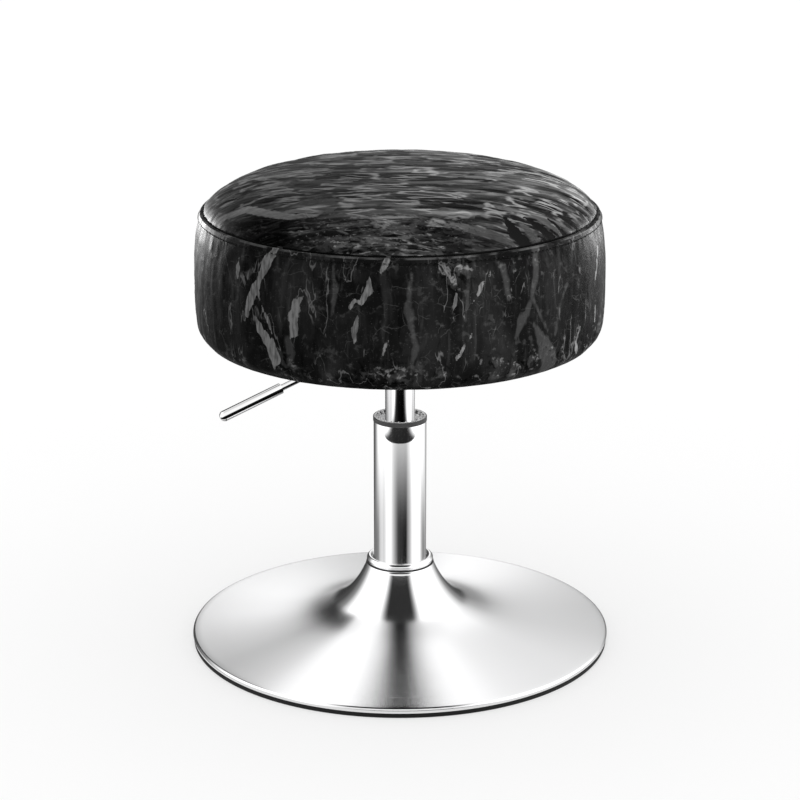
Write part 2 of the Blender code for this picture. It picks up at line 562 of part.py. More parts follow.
def build_mechanism(body, lever_frame):
    """Taper socket, channel, plate and their fastenings, under the seat."""
    taper = NOSE_TAPER / (CYLINDER_TOP - SOCKET_BOTTOM)
    socket_top = CYLINDER_TOP - SOCKET_SHORT
    mouth = CYLINDER_RADIUS + CLEARANCE
    collar_top = CHANNEL_BOTTOM - CLEARANCE
    collar = SOCKET_RADIUS + SOCKET_COLLAR
    profile = [(SOCKET_RADIUS, socket_top), (SOCKET_RADIUS, collar_top), (collar, collar_top)]
    profile += [(collar, collar_top - SOCKET_COLLAR), (SOCKET_RADIUS, collar_top - SOCKET_COLLAR)]
    profile += [(SOCKET_RADIUS, SOCKET_BOTTOM), (mouth, SOCKET_BOTTOM)]
    profile.append((mouth - taper * (socket_top - SOCKET_BOTTOM), socket_top))
    turned("taper_socket", profile, black_steel, body)

    half = CHANNEL_WIDTH / 2
    side = half + CHANNEL_WALL
    edge = side + CHANNEL_FLANGE
    floor = CHANNEL_BOTTOM + CHANNEL_WALL
    brim = CHANNEL_TOP - CHANNEL_WALL
    right = [(half, floor), (half, CHANNEL_TOP), (edge, CHANNEL_TOP), (edge, brim), (side, brim)]
    right.append((side, CHANNEL_BOTTOM))
    left = [(-y, z) for y, z in reversed(right)]
    curve = outline_curve([left + right], CHANNEL_LENGTH)
    channel_turn = (math.pi / 2, 0, math.pi / 2)
    maker = placed("channel_outline", curve, black_steel, lever_frame, rotation=channel_turn)
    mesh = evaluated_mesh(maker)
    channel = placed("plate_channel", mesh, black_steel, lever_frame, rotation=channel_turn)
    hole = cylinder_mesh(SOCKET_RADIUS + CLEARANCE, 4 * CHANNEL_WALL, ROUND_STEPS)
    combine(channel, cutter("socket_hole", hole, lever_frame, (0, 0, CHANNEL_BOTTOM)))
    hole = cylinder_mesh(PIVOT_RADIUS + CLEARANCE, 2 * edge, SMALL_STEPS)
    pivot = (LEVER_ARM, 0, LEVER_HEIGHT)
    combine(channel, cutter("pivot_hole", hole, lever_frame, pivot, (math.pi / 2, 0, 0)))

    end = side + CLEARANCE + PIVOT_HEAD
    profile = [(0, end), (PIVOT_HEAD_RADIUS, end), (PIVOT_HEAD_RADIUS, end - PIVOT_HEAD)]
    profile.append((PIVOT_RADIUS, end - PIVOT_HEAD))
    profile += [(radius, -height) for radius, height in reversed(profile)]
    rivet = turned_mesh(profile, SMALL_STEPS)
    placed("lever_pivot_pin", rivet, zinc_steel, lever_frame, pivot, (math.pi / 2, 0, 0))

    outline = []
    for i, (x, y) in enumerate(corners(PLATE_SIDE - 2 * PLATE_CORNER)):
        outline += arc((x, y), PLATE_CORNER, 90 * i, 90 * i + 90, 4)
    holes = [arc(place, BOLT_RADIUS + CLEARANCE, 0, 330, 11) for place in corners(BOLT_PITCH)]
    plate = outline_curve([outline] + holes, PLATE_WALL)
    placed("seat_plate", plate, black_steel, lever_frame, (0, 0, PLATE_BOTTOM + PLATE_WALL / 2))

    shank_top = BOARD_TOP - NUT_FLANGE - PLATE_BOTTOM
    head_top = -CLEARANCE
    head_bottom = head_top - BOLT_HEAD
    profile = [(0, shank_top), (BOLT_RADIUS, shank_top), (BOLT_RADIUS, head_top)]
    profile += [(BOLT_HEAD_RADIUS, head_top), (BOLT_HEAD_RADIUS, head_top - BOLT_HEAD / 3)]
    profile += [(BOLT_HEAD_RADIUS - BOLT_HEAD / 2, head_bottom), (0, head_bottom)]
    maker = placed("bolt", turned_mesh(profile, BOLT_STEPS), zinc_steel, None)
    key = cylinder_mesh(BOLT_KEY, BOLT_HEAD, 6)
    combine(maker, cutter("bolt_key", key, None, (0, 0, head_bottom)))
    bolt = evaluated_mesh(maker)
    nut_seat = NUT_FLANGE + CLEARANCE
    barrel_bottom = -nut_seat - NUT_BARREL
    nut_top = -CLEARANCE
    profile = [(NUT_FLANGE_RADIUS, nut_top), (NUT_FLANGE_RADIUS, nut_top - NUT_FLANGE)]
    profile += [(NUT_BARREL_RADIUS, nut_top - NUT_FLANGE), (NUT_BARREL_RADIUS, barrel_bottom)]
    profile += [(BOLT_RADIUS + CLEARANCE, barrel_bottom), (BOLT_RADIUS + CLEARANCE, nut_top)]
    nut = turned_mesh(profile, BOLT_STEPS)
    for i, (x, y) in enumerate(corners(BOLT_PITCH), 1):
        placed(f"plate_bolt_{i}", bolt, zinc_steel, lever_frame, (x, y, PLATE_BOTTOM))
        placed(f"tee_nut_{i}", nut, zinc_steel, lever_frame, (x, y, BOARD_TOP))


def build_lever(body):
    """Bent lever rod with an eye on the pivot, and its grip. The origin is the pivot."""
    down = Vector((math.cos(LEVER_DROOP), 0, -math.sin(LEVER_DROOP)))
    bend = Vector((LEVER_BEND, 0, 0))
    tangent = BEND_RADIUS * math.tan(LEVER_DROOP / 2)
    droop = math.degrees(LEVER_DROOP)
    bend_centre = (LEVER_BEND - tangent, -BEND_RADIUS)
    route = [Vector((-LEVER_INNER, 0, 0)), Vector((0, 0, 0))]
    route += [Vector((x, 0, z)) for x, z in arc(bend_centre, BEND_RADIUS, 90, 90 - droop, 3)]
    route.append(bend + down * (LEVER_NECK + GRIP_SEAT))
    curve = bpy.data.curves.new("lever_route", "CURVE")
    curve.dimensions = "3D"
    curve.bevel_depth = LEVER_RADIUS
    curve.bevel_resolution = 4
    curve.use_fill_caps = True
    spline = curve.splines.new("POLY")
    spline.points.add(len(route) - 1)
    for point, place in zip(spline.points, route):
        point.co = (*place, 1)
    maker = placed("lever_route", curve, zinc_steel, body)
    rod = placed("lever_rod", evaluated_mesh(maker), zinc_steel, body)
    sideways = (math.pi / 2, 0, 0)
    barrel = cylinder_mesh(BARREL_RADIUS, BARREL_LENGTH, SMALL_STEPS)
    combine(rod, cutter("lever_barrel", barrel, body, rotation=sideways), "UNION")
    eye = cylinder_mesh(PIVOT_RADIUS + CLEARANCE, 2 * BARREL_LENGTH, SMALL_STEPS)
    combine(rod, cutter("lever_eye", eye, body, rotation=sideways))

    bore = LEVER_RADIUS + CLEARANCE
    dome = [(0, GRIP_LENGTH)]
    dome += [(r, z) for r, z in arc((0, GRIP_LENGTH - GRIP_RADIUS), GRIP_RADIUS, 70, 0, 3)]
    profile = dome + [(GRIP_RADIUS, GRIP_CHAMFER), (GRIP_RADIUS - GRIP_CHAMFER, 0), (bore, 0)]
    profile += [(bore, GRIP_SEAT + CLEARANCE), (0, GRIP_SEAT + CLEARANCE)]
    mesh = turned_mesh(profile, SMALL_STEPS)
    along = (0, math.pi / 2 + LEVER_DROOP, 0)
    placed("lever_grip", mesh, chrome, body, bend + down * LEVER_NECK, along)


def side_radius(height):
    """Outer radius of the seat's side: a slight bulge, drawn in towards the seam."""
    widest = SEAT_BOTTOM + BULGE_HEIGHT
    if height < widest:
        share = (widest - height) / (BULGE_HEIGHT - CORNER_ROUND)
        return BULGE_RADIUS - (BULGE_RADIUS - LOWER_RADIUS) * share**2
    share = (height - widest) / (SIDE_TOP - widest)
    return BULGE_RADIUS - (BULGE_RADIUS - SIDE_TOP_RADIUS) * share**3


def side_profile():
    """Side and lower corner of the seat, down to its flat underside."""
    low = SEAT_BOTTOM + CORNER_ROUND
    count = 5
    heights = [SIDE_TOP + (low - SIDE_TOP) * i / count for i in range(count)]
    profile = [(side_radius(height), height) for height in heights]
    return profile + arc((BOARD_RADIUS, low), CORNER_ROUND, 0, -90, 4)


def crown_profile():
    """Crown of the seat, from its middle to its edge."""
    count = 9
    profile = []
    for i in range(count + 1):
        share = math.sin(math.pi / 2 * i / count)
        rise = (1 - share**CROWN_FLATNESS) ** (1 / CROWN_SHOULDER)
        profile.append((share * WELT_TOP_RADIUS, CROWN_BOTTOM + rise * CROWN_HEIGHT))
    return profile


def inset(profile, depth):
    """Moves a profile inwards, square to its faces. Its ends stay on the axis or the flat."""
    points = [Vector(point) for point in profile]
    moved = []
    for i, point in enumerate(points):
        before = points[i] - points[i - 1] if i else points[1] - points[0]
        after = points[i + 1] - points[i] if i + 1 < len(points) else before
        normals = [Vector((way.y, -way.x)).normalized() for way in (before, after)]
        middle = (normals[0] + normals[1]).normalized()
        moved.append(tuple(point + middle * depth / middle.dot(normals[0])))
    moved[0] = (0, moved[0][1])
    return moved


def build_seat(body, lever_frame):
    """Board, foam, cover and dust cloth."""
    board_profile = [(0, BOARD_TOP), (BOARD_RADIUS, BOARD_TOP), (BOARD_RADIUS, BOARD_BOTTOM)]
    board = turned("seat_board", board_profile + [(0, BOARD_BOTTOM)], plywood, body, SEAT_STEPS)
    barrel = NUT_BARREL_RADIUS + CLEARANCE
    counterbore = NUT_FLANGE + 2 * CLEARANCE
    above = BOARD_WALL
    profile = [(0, above), (NUT_FLANGE_RADIUS + CLEARANCE, above)]
    profile += [(NUT_FLANGE_RADIUS + CLEARANCE, -counterbore), (barrel, -counterbore)]
    profile += [(barrel, -2 * BOARD_WALL), (0, -2 * BOARD_WALL)]
    nut_hole = turned_mesh(profile, BOLT_STEPS)

    step = HEM_RADIUS - CLEARANCE - COVER_WALL
    edge_top = SEAT_BOTTOM - CLEARANCE
    edge_bottom = edge_top - DUST_WALL
    profile = [(0, DUST_BOTTOM + DUST_WALL), (step, DUST_BOTTOM + DUST_WALL), (HEM_RADIUS, edge_top)]
    profile += [(DUST_RADIUS, edge_top), (DUST_RADIUS, edge_bottom), (HEM_RADIUS, edge_bottom)]
    profile += [(step, DUST_BOTTOM), (0, DUST_BOTTOM)]
    dust = turned("dust_cover", profile, dust_cloth, body, SEAT_STEPS)
    bolt_hole = cylinder_mesh(BOLT_RADIUS + CLEARANCE, BOARD_WALL, BOLT_STEPS)
    for i, (x, y) in enumerate(corners(BOLT_PITCH), 1):
        combine(board, cutter(f"nut_hole_{i}", nut_hole, lever_frame, (x, y, BOARD_TOP)))
        combine(dust, cutter(f"bolt_hole_{i}", bolt_hole, lever_frame, (x, y, DUST_BOTTOM)))

    profile = inset(crown_profile() + side_profile(), COVER_WALL + CLEARANCE)
    profile.pop()  # it lies under the board, and the foam ends at the board's edge
    recess = BOARD_RADIUS + CLEARANCE
    recess_top = BOARD_TOP + CLEARANCE
    profile += [(recess, BOARD_BOTTOM), (recess, recess_top), (0, recess_top)]
    turned("seat_foam", profile, foam, body, SEAT_STEPS)

    turned("cover_top", crown_profile(), cover_leather, body, SEAT_STEPS, COVER_WALL)

    inner_drop = CLEARANCE + COVER_WALL / 2
    top = CROWN_BOTTOM - inner_drop
    bottom = SIDE_TOP + inner_drop
    profile = [(WELT_TOP_RADIUS, top), (SIDE_TOP_RADIUS, bottom)]
    profile += [(SIDE_TOP_RADIUS - COVER_WALL, bottom), (WELT_TOP_RADIUS - COVER_WALL, top)]
    turned("seam_welt", profile, cover_leather, body, SEAT_STEPS)

    profile = side_profile() + [(HEM_RADIUS, SEAT_BOTTOM)]
    turned("cover_side", profile, cover_leather, body, SEAT_STEPS, COVER_WALL)


base_body = empty("stool_base")
cage_body = empty("bearing_axis", base_body)
rod_body = empty("swivel_axis", base_body)
lift_body = empty("lift_axis", rod_body)
lever_plane = empty("lever_plane", lift_body, turn=LEVER_AZIMUTH)
lever_body = empty("lever_axis", lever_plane, (LEVER_ARM, 0, LEVER_HEIGHT))
valve_body = empty("valve_axis", lift_body)

build_base(base_body)
build_column(base_body)
build_bearing(base_body, cage_body, rod_body)
build_rod(rod_body)
build_gas_cylinder(lift_body, valve_body)
build_mechanism(lift_body, lever_plane)
build_lever(lever_body)
build_seat(lift_body, lever_plane)
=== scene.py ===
"""Looks of a swivel vanity stool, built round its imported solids.

Metres, +Z up, the floor at z = 0, the column on the Z axis and the front towards -Y.
"""

import json
import math
import random

import bmesh
import bpy
import numpy
from mathutils import Matrix, Vector
from mathutils.kdtree import KDTree

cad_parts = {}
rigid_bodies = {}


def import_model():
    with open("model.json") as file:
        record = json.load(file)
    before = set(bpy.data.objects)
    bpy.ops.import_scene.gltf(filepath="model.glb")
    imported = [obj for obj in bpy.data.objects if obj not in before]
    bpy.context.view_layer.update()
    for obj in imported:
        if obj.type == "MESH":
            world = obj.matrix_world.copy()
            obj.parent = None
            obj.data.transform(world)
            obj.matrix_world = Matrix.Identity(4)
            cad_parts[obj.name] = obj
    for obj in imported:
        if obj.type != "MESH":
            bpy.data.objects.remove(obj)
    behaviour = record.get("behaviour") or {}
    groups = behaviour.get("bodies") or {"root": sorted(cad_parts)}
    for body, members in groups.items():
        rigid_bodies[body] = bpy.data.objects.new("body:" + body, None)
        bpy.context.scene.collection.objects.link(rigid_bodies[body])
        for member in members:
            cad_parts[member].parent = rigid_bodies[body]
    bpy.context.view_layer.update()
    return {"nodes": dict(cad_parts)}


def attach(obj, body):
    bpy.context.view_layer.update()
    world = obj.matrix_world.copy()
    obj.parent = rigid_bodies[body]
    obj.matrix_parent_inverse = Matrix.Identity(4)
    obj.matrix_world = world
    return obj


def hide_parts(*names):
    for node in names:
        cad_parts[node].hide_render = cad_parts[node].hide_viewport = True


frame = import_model()


# Base shell. A trumpet pressed from one sheet of steel and chromed: the dish is brushed round
# its axis to a satin finish, the neck is polished, and the rim is rolled under.
def add(tree, kind, inputs=None, **settings):
    """Adds a node. An input is a value, or another node's output to link."""
    made = tree.nodes.new("ShaderNode" + kind)
    for key, value in settings.items():
        setattr(made, key, value)
    for key, value in (inputs or {}).items():
        if isinstance(value, bpy.types.NodeSocket):
            tree.links.new(value, made.inputs[key])
        else:
            made.inputs[key].default_value = value
    return made


def finish_of(name, colour, roughness, **sockets):
    """A Principled material, its tree, its shader and its Object coordinates."""
    look = bpy.data.materials.new(name)
    look.use_nodes = True
    tree = look.node_tree
    shader = tree.nodes["Principled BSDF"]
    shader.inputs["Base Color"].default_value = (*colour, 1)
    shader.inputs["Roughness"].default_value = roughness
    for key, value in sockets.items():
        shader.inputs[key.replace("_", " ")].default_value = value
    return look, tree, shader, add(tree, "TexCoord").outputs["Object"]


def ramp(tree, value, low, high, to_low=0.0, to_high=1.0):
    """A smooth step of a value from one number to another."""
    limits = {"From Min": low, "From Max": high, "To Min": to_low, "To Max": to_high}
    return add(
        tree, "MapRange", {"Value": value, **limits}, interpolation_type="SMOOTHSTEP"
    ).outputs["Result"]


def maths(tree, operation, *values):
    """One Math node."""
    return add(tree, "Math", dict(enumerate(values)), operation=operation).outputs[0]


def vectors(tree, operation, *values):
    """One Vector Math node, with the number or the vector that its operation gives."""
    made = add(tree, "VectorMath", dict(enumerate(values)), operation=operation)
    gives_number = operation in ("LENGTH", "DISTANCE", "DOT_PRODUCT")
    return made.outputs["Value" if gives_number else "Vector"]


def from_axis(tree, place):
    """How far a place lies from the Z axis."""
    return vectors(tree, "LENGTH", vectors(tree, "MULTIPLY", place, (1, 1, 0)))


def bumped(tree, shader, height, strength, depth):
    """Raises a finish by a texture, as a bump."""
    bump = add(tree, "Bump", {"Strength": strength, "Distance": depth, "Height": height})
    tree.links.new(bump.outputs[0], shader.inputs["Normal"])


def turned(profile, steps, closed=True):
    """Turns (radius, height, rounding) corners, listed down the outer side, about Z."""
    shape = bmesh.new()
    corners = [shape.verts.new((radius, 0, height)) for radius, height, _ in profile]
    for start, end in zip(corners, corners[1:]):
        shape.edges.new((start, end))
    if closed:
        shape.edges.new((corners[-1], corners[0]))
    for corner, (_, _, rounding) in zip(corners, profile):
        if rounding:
            bmesh.ops.bevel(
                shape, geom=[corner], offset=rounding, segments=5, profile=0.5,
                affect="VERTICES", material=-1,
            )
    bmesh.ops.spin(
        shape, geom=shape.verts[:] + shape.edges[:], cent=(0, 0, 0), axis=(0, 0, 1),
        angle=2 * math.pi, steps=steps, use_merge=True,
    )
    bmesh.ops.remove_doubles(shape, verts=shape.verts, dist=1e-6)
    bmesh.ops.recalc_face_normals(shape, faces=shape.faces)
    return shape


def object_of(name, shape, look):
    """Makes an object of a bmesh."""
    mesh = bpy.data.meshes.new(name)
    shape.to_mesh(mesh)
    shape.free()
    mesh.materials.append(look)
    made = bpy.data.objects.new(name, mesh)
    bpy.context.scene.collection.objects.link(made)
    return made


def piece(name, shape, look, body, slot, *nodes, sharp=35):
    """Makes a smooth object, which rides on a body and stands for these nodes."""
    made = object_of(name, shape, look)
    made.data.shade_smooth()
    made.data.set_sharp_from_angle(angle=math.radians(sharp))
    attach(made, body)
    if nodes:
        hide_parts(*nodes)
    return made


def set_in_mesh(made):
    """Puts the result of a piece's modifiers into its mesh."""
    graph = bpy.context.evaluated_depsgraph_get()
    mesh = bpy.data.meshes.new_from_object(made.evaluated_get(graph))
    made.modifiers.clear()
    old = made.data
    made.data = mesh
    bpy.data.meshes.remove(old)
    mesh.name = made.name


neck_radius, neck_top, neck_round, neck_flare = 0.033, 0.0752, 0.0025, 0.018
rim_radius, rim_roll, rim_drop, dish_slope = 0.1978, 0.0022, 0.0035, 0.14
rim_middle, rim_top, flange_radius, bore_radius = 0.0075, 0.0097, 0.191, 0.0254
neck_rise = neck_top - neck_round - rim_top - dish_slope * (rim_radius - neck_radius)


def dish_height(radius):
    """Height of the base's outer face."""
    neck = neck_rise * math.exp((neck_radius - radius) / neck_flare)
    return rim_top + dish_slope * (rim_radius - radius) + neck


base_profile = [(bore_radius, neck_top, 0)]
for i in range(7):
    turn = math.radians(90 - 15 * i)
    base_profile.append(
        (
            neck_radius - neck_round + neck_round * math.cos(turn),
            neck_top - neck_round + neck_round * math.sin(turn),
            0,
        )
    )
for i in range(1, 49):
    radius = neck_radius + (rim_radius - neck_radius) * (i / 48) ** 1.6
    base_profile.append((radius, dish_height(radius), 0))
for i in range(1, 13):
    turn = math.radians(82 - 172 / 12 * i)
    reach = rim_roll if turn > 0 else rim_drop
    base_profile.append(
        (rim_radius + rim_roll * math.cos(turn), rim_middle + reach * math.sin(turn), 0)
    )
base_profile.append((flange_radius, rim_middle - rim_drop, 0))

satin_chrome, tree, shader, place = finish_of(
    "satin chrome", (0.74, 0.74, 0.745), 0.2,
    Metallic=1, Anisotropic=1.0, Anisotropic_Rotation=0.25,
)
axis_distance = from_axis(tree, place)
brushing = add(
    tree, "TexNoise", {"W": axis_distance, "Scale": 2600.0, "Detail": 3.0}, noise_dimensions="1D"
).outputs[0]
polish = ramp(tree, axis_distance, 0.042, 0.075, 0.08, 0.14)
polish = maths(tree, "ADD", polish, ramp(tree, axis_distance, 0.197, 0.198, 0.0, -0.04))
brushed = maths(tree, "MULTIPLY_ADD", brushing, 0.08, polish)
tree.links.new(maths(tree, "SUBTRACT", brushed, 0.04), shader.inputs["Roughness"])
round_axis = add(tree, "Tangent", direction_type="RADIAL", axis="Z")
tree.links.new(round_axis.outputs[0], shader.inputs["Tangent"])
bumped(tree, shader, brushing, 0.06, 0.0002)

base_shell = piece(
    "trumpet_base", turned(base_profile, 192, False), satin_chrome, "base", "satin_chrome",
    "base_shell",
)
wall = base_shell.modifiers.new("wall", "SOLIDIFY")
wall.thickness = 0.0015
wall.offset = -1
wall.use_even_offset = True
set_in_mesh(base_shell)


# Floor ring. Moulded black rubber, hooked over the rim's flange, with two grooves under it.
# It keeps the steel rim off the floor and stops the stool from sliding.
def noise(tree, place, scale, detail=2.0, rough=0.5):
    """One noise."""
    inputs = {"Vector": place, "Scale": scale, "Detail": detail, "Roughness": rough}
    return add(tree, "TexNoise", inputs).outputs[0]


def dulled(tree, shader, grain, low, high, start=0.3, end=0.7):
    """Lets a finish's roughness follow a grain."""
    tree.links.new(ramp(tree, grain, start, end, low, high), shader.inputs["Roughness"])


black_rubber, tree, shader, place = finish_of(
    "black rubber", (0.005, 0.005, 0.005), 0.62, Specular_IOR_Level=0.2
)
moulding = noise(tree, place, 900.0, 3.0)
dulled(tree, shader, moulding, 0.52, 0.72)
bumped(tree, shader, moulding, 0.25, 0.0002)
ring_profile = [(0.1992, 0.0038, 0.0006), (0.1992, 0, 0.0009)]
groove_depth = 0.0007
for groove in (0.1955, 0.1915):
    ring_profile += [
        (groove + groove_depth, 0, 0), (groove, groove_depth, 0), (groove - groove_depth, 0, 0),
    ]
ring_profile += [(0.1867, 0, 0.0009), (0.1867, 0.0081, 0.0004), (0.1937, 0.0081, 0.0003)]
ring_profile += [(0.1937, 0.0071, 0.0003), (0.1907, 0.0071, 0), (0.1907, 0.0038, 0)]
piece(
    "rubber_floor_ring", turned(ring_profile, 192), black_rubber, "base", "black_rubber",
    "floor_ring",
)


# Steel inside the base and the gas lift: the socket and brace that hold the column, the thrust
# bearing, the rod with its piston, and the nuts. They are zinc plated or ground, and the bumper
# and the piston's seal are rubber.
def dress(look, *nodes):
    """Gives CAD nodes a finish."""
    for name in nodes:
        frame["nodes"][name].data.materials.clear()
        frame["nodes"][name].data.materials.append(look)


def shades(tree, value, *stops):
    """A colour ramp through (place, colour) stops."""
    made = add(tree, "ValToRGB", {"Fac": value})
    elements = made.color_ramp.elements
    elements.remove(elements[1])
    for number, (place, colour) in enumerate(stops):
        element = elements.new(place) if number else elements[0]
        element.position = place
        element.color = (*colour, 1)
    return made.outputs[0]


zinc_steel, tree, shader, place = finish_of("zinc steel", (0.52, 0.53, 0.55), 0.38, Metallic=1)
crystals = add(tree, "TexVoronoi", {"Vector": place, "Scale": 420.0}).outputs["Color"]
dulled(tree, shader, crystals, 0.28, 0.48, 0.2, 0.8)
tone = shades(tree, crystals, (0, (0.44, 0.45, 0.47)), (1, (0.6, 0.61, 0.63)))
tree.links.new(tone, shader.inputs["Base Color"])
dress(
    zinc_steel, "hub_socket", "brace_plate", "end_plate", "rod_washer", "piston_head",
    "cylinder_end_guide", "lever_pivot_pin", "tee_nut_1", "tee_nut_2", "tee_nut_3", "tee_nut_4",
)

ground_steel, tree, shader, place = finish_of("ground steel", (0.6, 0.6, 0.6), 0.2, Metallic=1)
grinding = noise(tree, vectors(tree, "MULTIPLY", place, (60, 60, 3000)), 1.0)
dulled(tree, shader, grinding, 0.12, 0.3)
dress(
    ground_steel, "bearing_lower_race", "bearing_cage", "bearing_upper_race", "piston_rod",
    "valve_pin",
)
dress(black_rubber, "bumper", "piston_seal")


# Column tube. Polished chrome on a drawn steel tube, whose tapered foot sits in the socket. Its
# mouth is bored a little wider.
def streaked_chrome(name, stretch):
    """Polished chrome with the faint drawing lines of a tube or a bar along one axis."""
    look, tree, shader, place = finish_of(name, (0.8, 0.8, 0.805), 0.07, Metallic=1)
    lines = noise(tree, vectors(tree, "MULTIPLY", place, stretch), 1.0, 4.0)
    dulled(tree, shader, lines, 0.05, 0.13, 0.3, 0.75)
    bumped(tree, shader, lines, 0.03, 0.0001)
    return look, tree, shader, place


column_chrome, *_ = streaked_chrome("column chrome", (1500, 1500, 8))
tube_profile = [
    (0.025, 0.2179, 0.0004), (0.025, 0.063, 0), (0.0243, 0.013, 0.0005), (0.0225, 0.013, 0),
    (0.0225, 0.2165, 0.0004), (0.0235, 0.2165, 0), (0.0235, 0.2179, 0),
]
piece("chrome_column", turned(tube_profile, 128), column_chrome, "base", "chrome", "column_tube")


# Trim ring. A polished chrome ring that hides the joint between column and neck. It is pressed
# over a black rubber seal, which stands in for the gap's shade as a line under it and inside it.
trim_chrome, *_ = streaked_chrome("trim chrome", (40, 40, 1800))
trim_middle, trim_bottom, half_width, half_height = 0.0289, 0.0755, 0.0029, 0.0034
trim_profile = []
for i in range(29):
    turn = math.radians(198 - 9 * i)
    radius = trim_middle + half_width * math.cos(turn)
    trim_profile.append((radius, trim_bottom + half_height * (1 + math.sin(turn)), 0))
trim_profile += [(0.0287, trim_bottom, 0), (0.0267, trim_bottom, 0)]
piece("chrome_trim_ring", turned(trim_profile, 128), trim_chrome, "base", "chrome", "trim_ring")
# A black seal that stands in for the shade of the gap under the trim ring.
shade_seal_profile = [
    (0.0262, 0.0798, 0.0003), (0.0262, 0.0764, 0), (0.0322, 0.0764, 0.0003), (0.0322, 0.0752, 0),
    (0.0251, 0.0752, 0), (0.0251, 0.0798, 0),
]
piece("trim_ring_shade_seal", turned(shade_seal_profile, 128), black_rubber, "base", "black_rubber")


# Collar and guide bush. A dark moulded collar with an inner ledge caps the column. The flange of
# the grey bush that guides the gas cylinder lies in it, slotted along its inner edge.
def moulded_plastic(name, colour, low, high, shine):
    """Moulded plastic with a fine spark-eroded grain."""
    look, tree, shader, place = finish_of(name, colour, low, Specular_IOR_Level=shine)
    grain = noise(tree, place, 1400.0)
    dulled(tree, shader, grain, low, high)
    bumped(tree, shader, grain, 0.12, 0.0001)
    return look, tree, shader, place


dark_plastic, tree, shader, place = moulded_plastic(
    "dark collar plastic", (0.075, 0.075, 0.075), 0.22, 0.34, 0.12
)
# Painted shade: the collar is much darker on its inner side, under the bush's flange and behind its
# slots.
painted_shade_inside = ramp(tree, from_axis(tree, place), 0.0236, 0.0246, 0.003, 0.075)
tree.links.new(painted_shade_inside, shader.inputs["Base Color"])
collar_profile = [
    (0.0229, 0.2214, 0), (0.0247, 0.2214, 0), (0.0247, 0.222, 0.0002), (0.0255, 0.222, 0.0005),
    (0.0255, 0.2175, 0.0003), (0.0251, 0.2175, 0), (0.0251, 0.2182, 0), (0.0209, 0.2182, 0),
    (0.0209, 0.2193, 0), (0.0229, 0.2193, 0),
]
piece(
    "column_collar", turned(collar_profile, 128), dark_plastic, "base", "dark_plastic",
    "collar_ring",
)

grey_plastic, *_ = moulded_plastic("grey bush plastic", (0.9, 0.9, 0.9), 0.26, 0.36, 0.5)
bush_profile = [
    (0.0246, 0.2222, 0.0003), (0.0246, 0.2215, 0), (0.0225, 0.2215, 0), (0.0225, 0.2195, 0),
    (0.0206, 0.2195, 0), (0.0206, 0.2178, 0), (0.0222, 0.216, 0), (0.0222, 0.145, 0),
    (0.0143, 0.145, 0), (0.0143, 0.218, 0), (0.015, 0.2188, 0.0003), (0.0158, 0.218, 0),
    (0.0198, 0.2188, 0), (0.0204, 0.2222, 0.0003),
]
bush = piece(
    "slotted_guide_bush", turned(bush_profile, 192), grey_plastic, "base", "grey_plastic",
    "guide_bush",
)
slot_count, slot_size = 20, Matrix.Diagonal((0.0036, 0.0054, 0.004, 1))
slots = bmesh.new()
for i in range(slot_count):
    turn = Matrix.Rotation(math.radians(360 / slot_count * i + 5), 4, "Z")
    place = turn @ Matrix.Translation((0.0212, 0, 0.2211))
    bmesh.ops.create_cube(slots, matrix=place @ slot_size)
slot_cutter = object_of("slot_cutter", slots, grey_plastic)
cut = bush.modifiers.new("slots", "BOOLEAN")
cut.object = slot_cutter
cut.solver = "EXACT"
set_in_mesh(bush)
bpy.data.objects.remove(slot_cutter)


# Gas cylinder. Chromed steel, which slides in the bush and carries the seat on its tapered nose.
# The nose is bored for the valve's pin.
cylinder_chrome, *_ = streaked_chrome("cylinder chrome", (1800, 1800, 10))
cylinder_profile = [
    (0.0133, 0.2775, 0.0005), (0.014, 0.2575, 0), (0.014, 0.0395, 0.0004), (0.012, 0.0395, 0),
    (0.012, 0.2425, 0), (0.0033, 0.2425, 0), (0.0033, 0.2775, 0),
]
piece(
    "chrome_gas_cylinder", turned(cylinder_profile, 96), cylinder_chrome, "lift", "chrome",
    "gas_cylinder",
)


# Seat mechanism. A taper socket welded through a pressed channel, under a plate that four bolts
# hold to the seat. It is steel with a black baked paint, slightly orange-peeled, and the bolts
# are zinc plated.
black_steel, tree, shader, place = finish_of("black paint", (0.016, 0.016, 0.017), 0.38)
peel = noise(tree, place, 700.0)
dulled(tree, shader, peel, 0.3, 0.46)
bumped(tree, shader, peel, 0.2, 0.0002)
dress(black_steel, "plate_channel", "seat_plate", "rod_clip")
socket_profile = [
    (0.0188, 0.276, 0.0006), (0.0188, 0.2675, 0), (0.0218, 0.2675, 0.0008),
    (0.0218, 0.2645, 0.0012), (0.0188, 0.2645, 0), (0.0188, 0.2575, 0.0008),
    (0.0143, 0.2575, 0.0004), (0.0136, 0.276, 0),
]
piece(
    "steel_taper_socket", turned(socket_profile, 96), black_steel, "lift", "black_steel",
    "taper_socket",
)

lever_turn = Matrix.Rotation(math.radians(205), 4, "Z")
bolt_off, plate_bottom = 0.06, 0.2981
bolt_profile = [
    (0, 0.0144, 0), (0.003, 0.0144, 0.0004), (0.003, -0.0003, 0), (0.0056, -0.0003, 0.0003),
    (0.0056, -0.0015, 0.0005), (0.0038, -0.0038, 0.0004), (0.0022, -0.0038, 0),
    (0.0022, -0.0018, 0), (0, -0.0018, 0),
]
for number, (right, back) in enumerate(((1, 1), (-1, 1), (-1, -1), (1, -1)), 1):
    bolt = turned(bolt_profile, 24, False)
    place = Matrix.Translation((right * bolt_off, back * bolt_off, plate_bottom))
    bmesh.ops.transform(bolt, matrix=lever_turn @ place, verts=bolt.verts)
    piece(f"button_bolt_{number}", bolt, zinc_steel, "lift", "zinc_steel", f"plate_bolt_{number}")
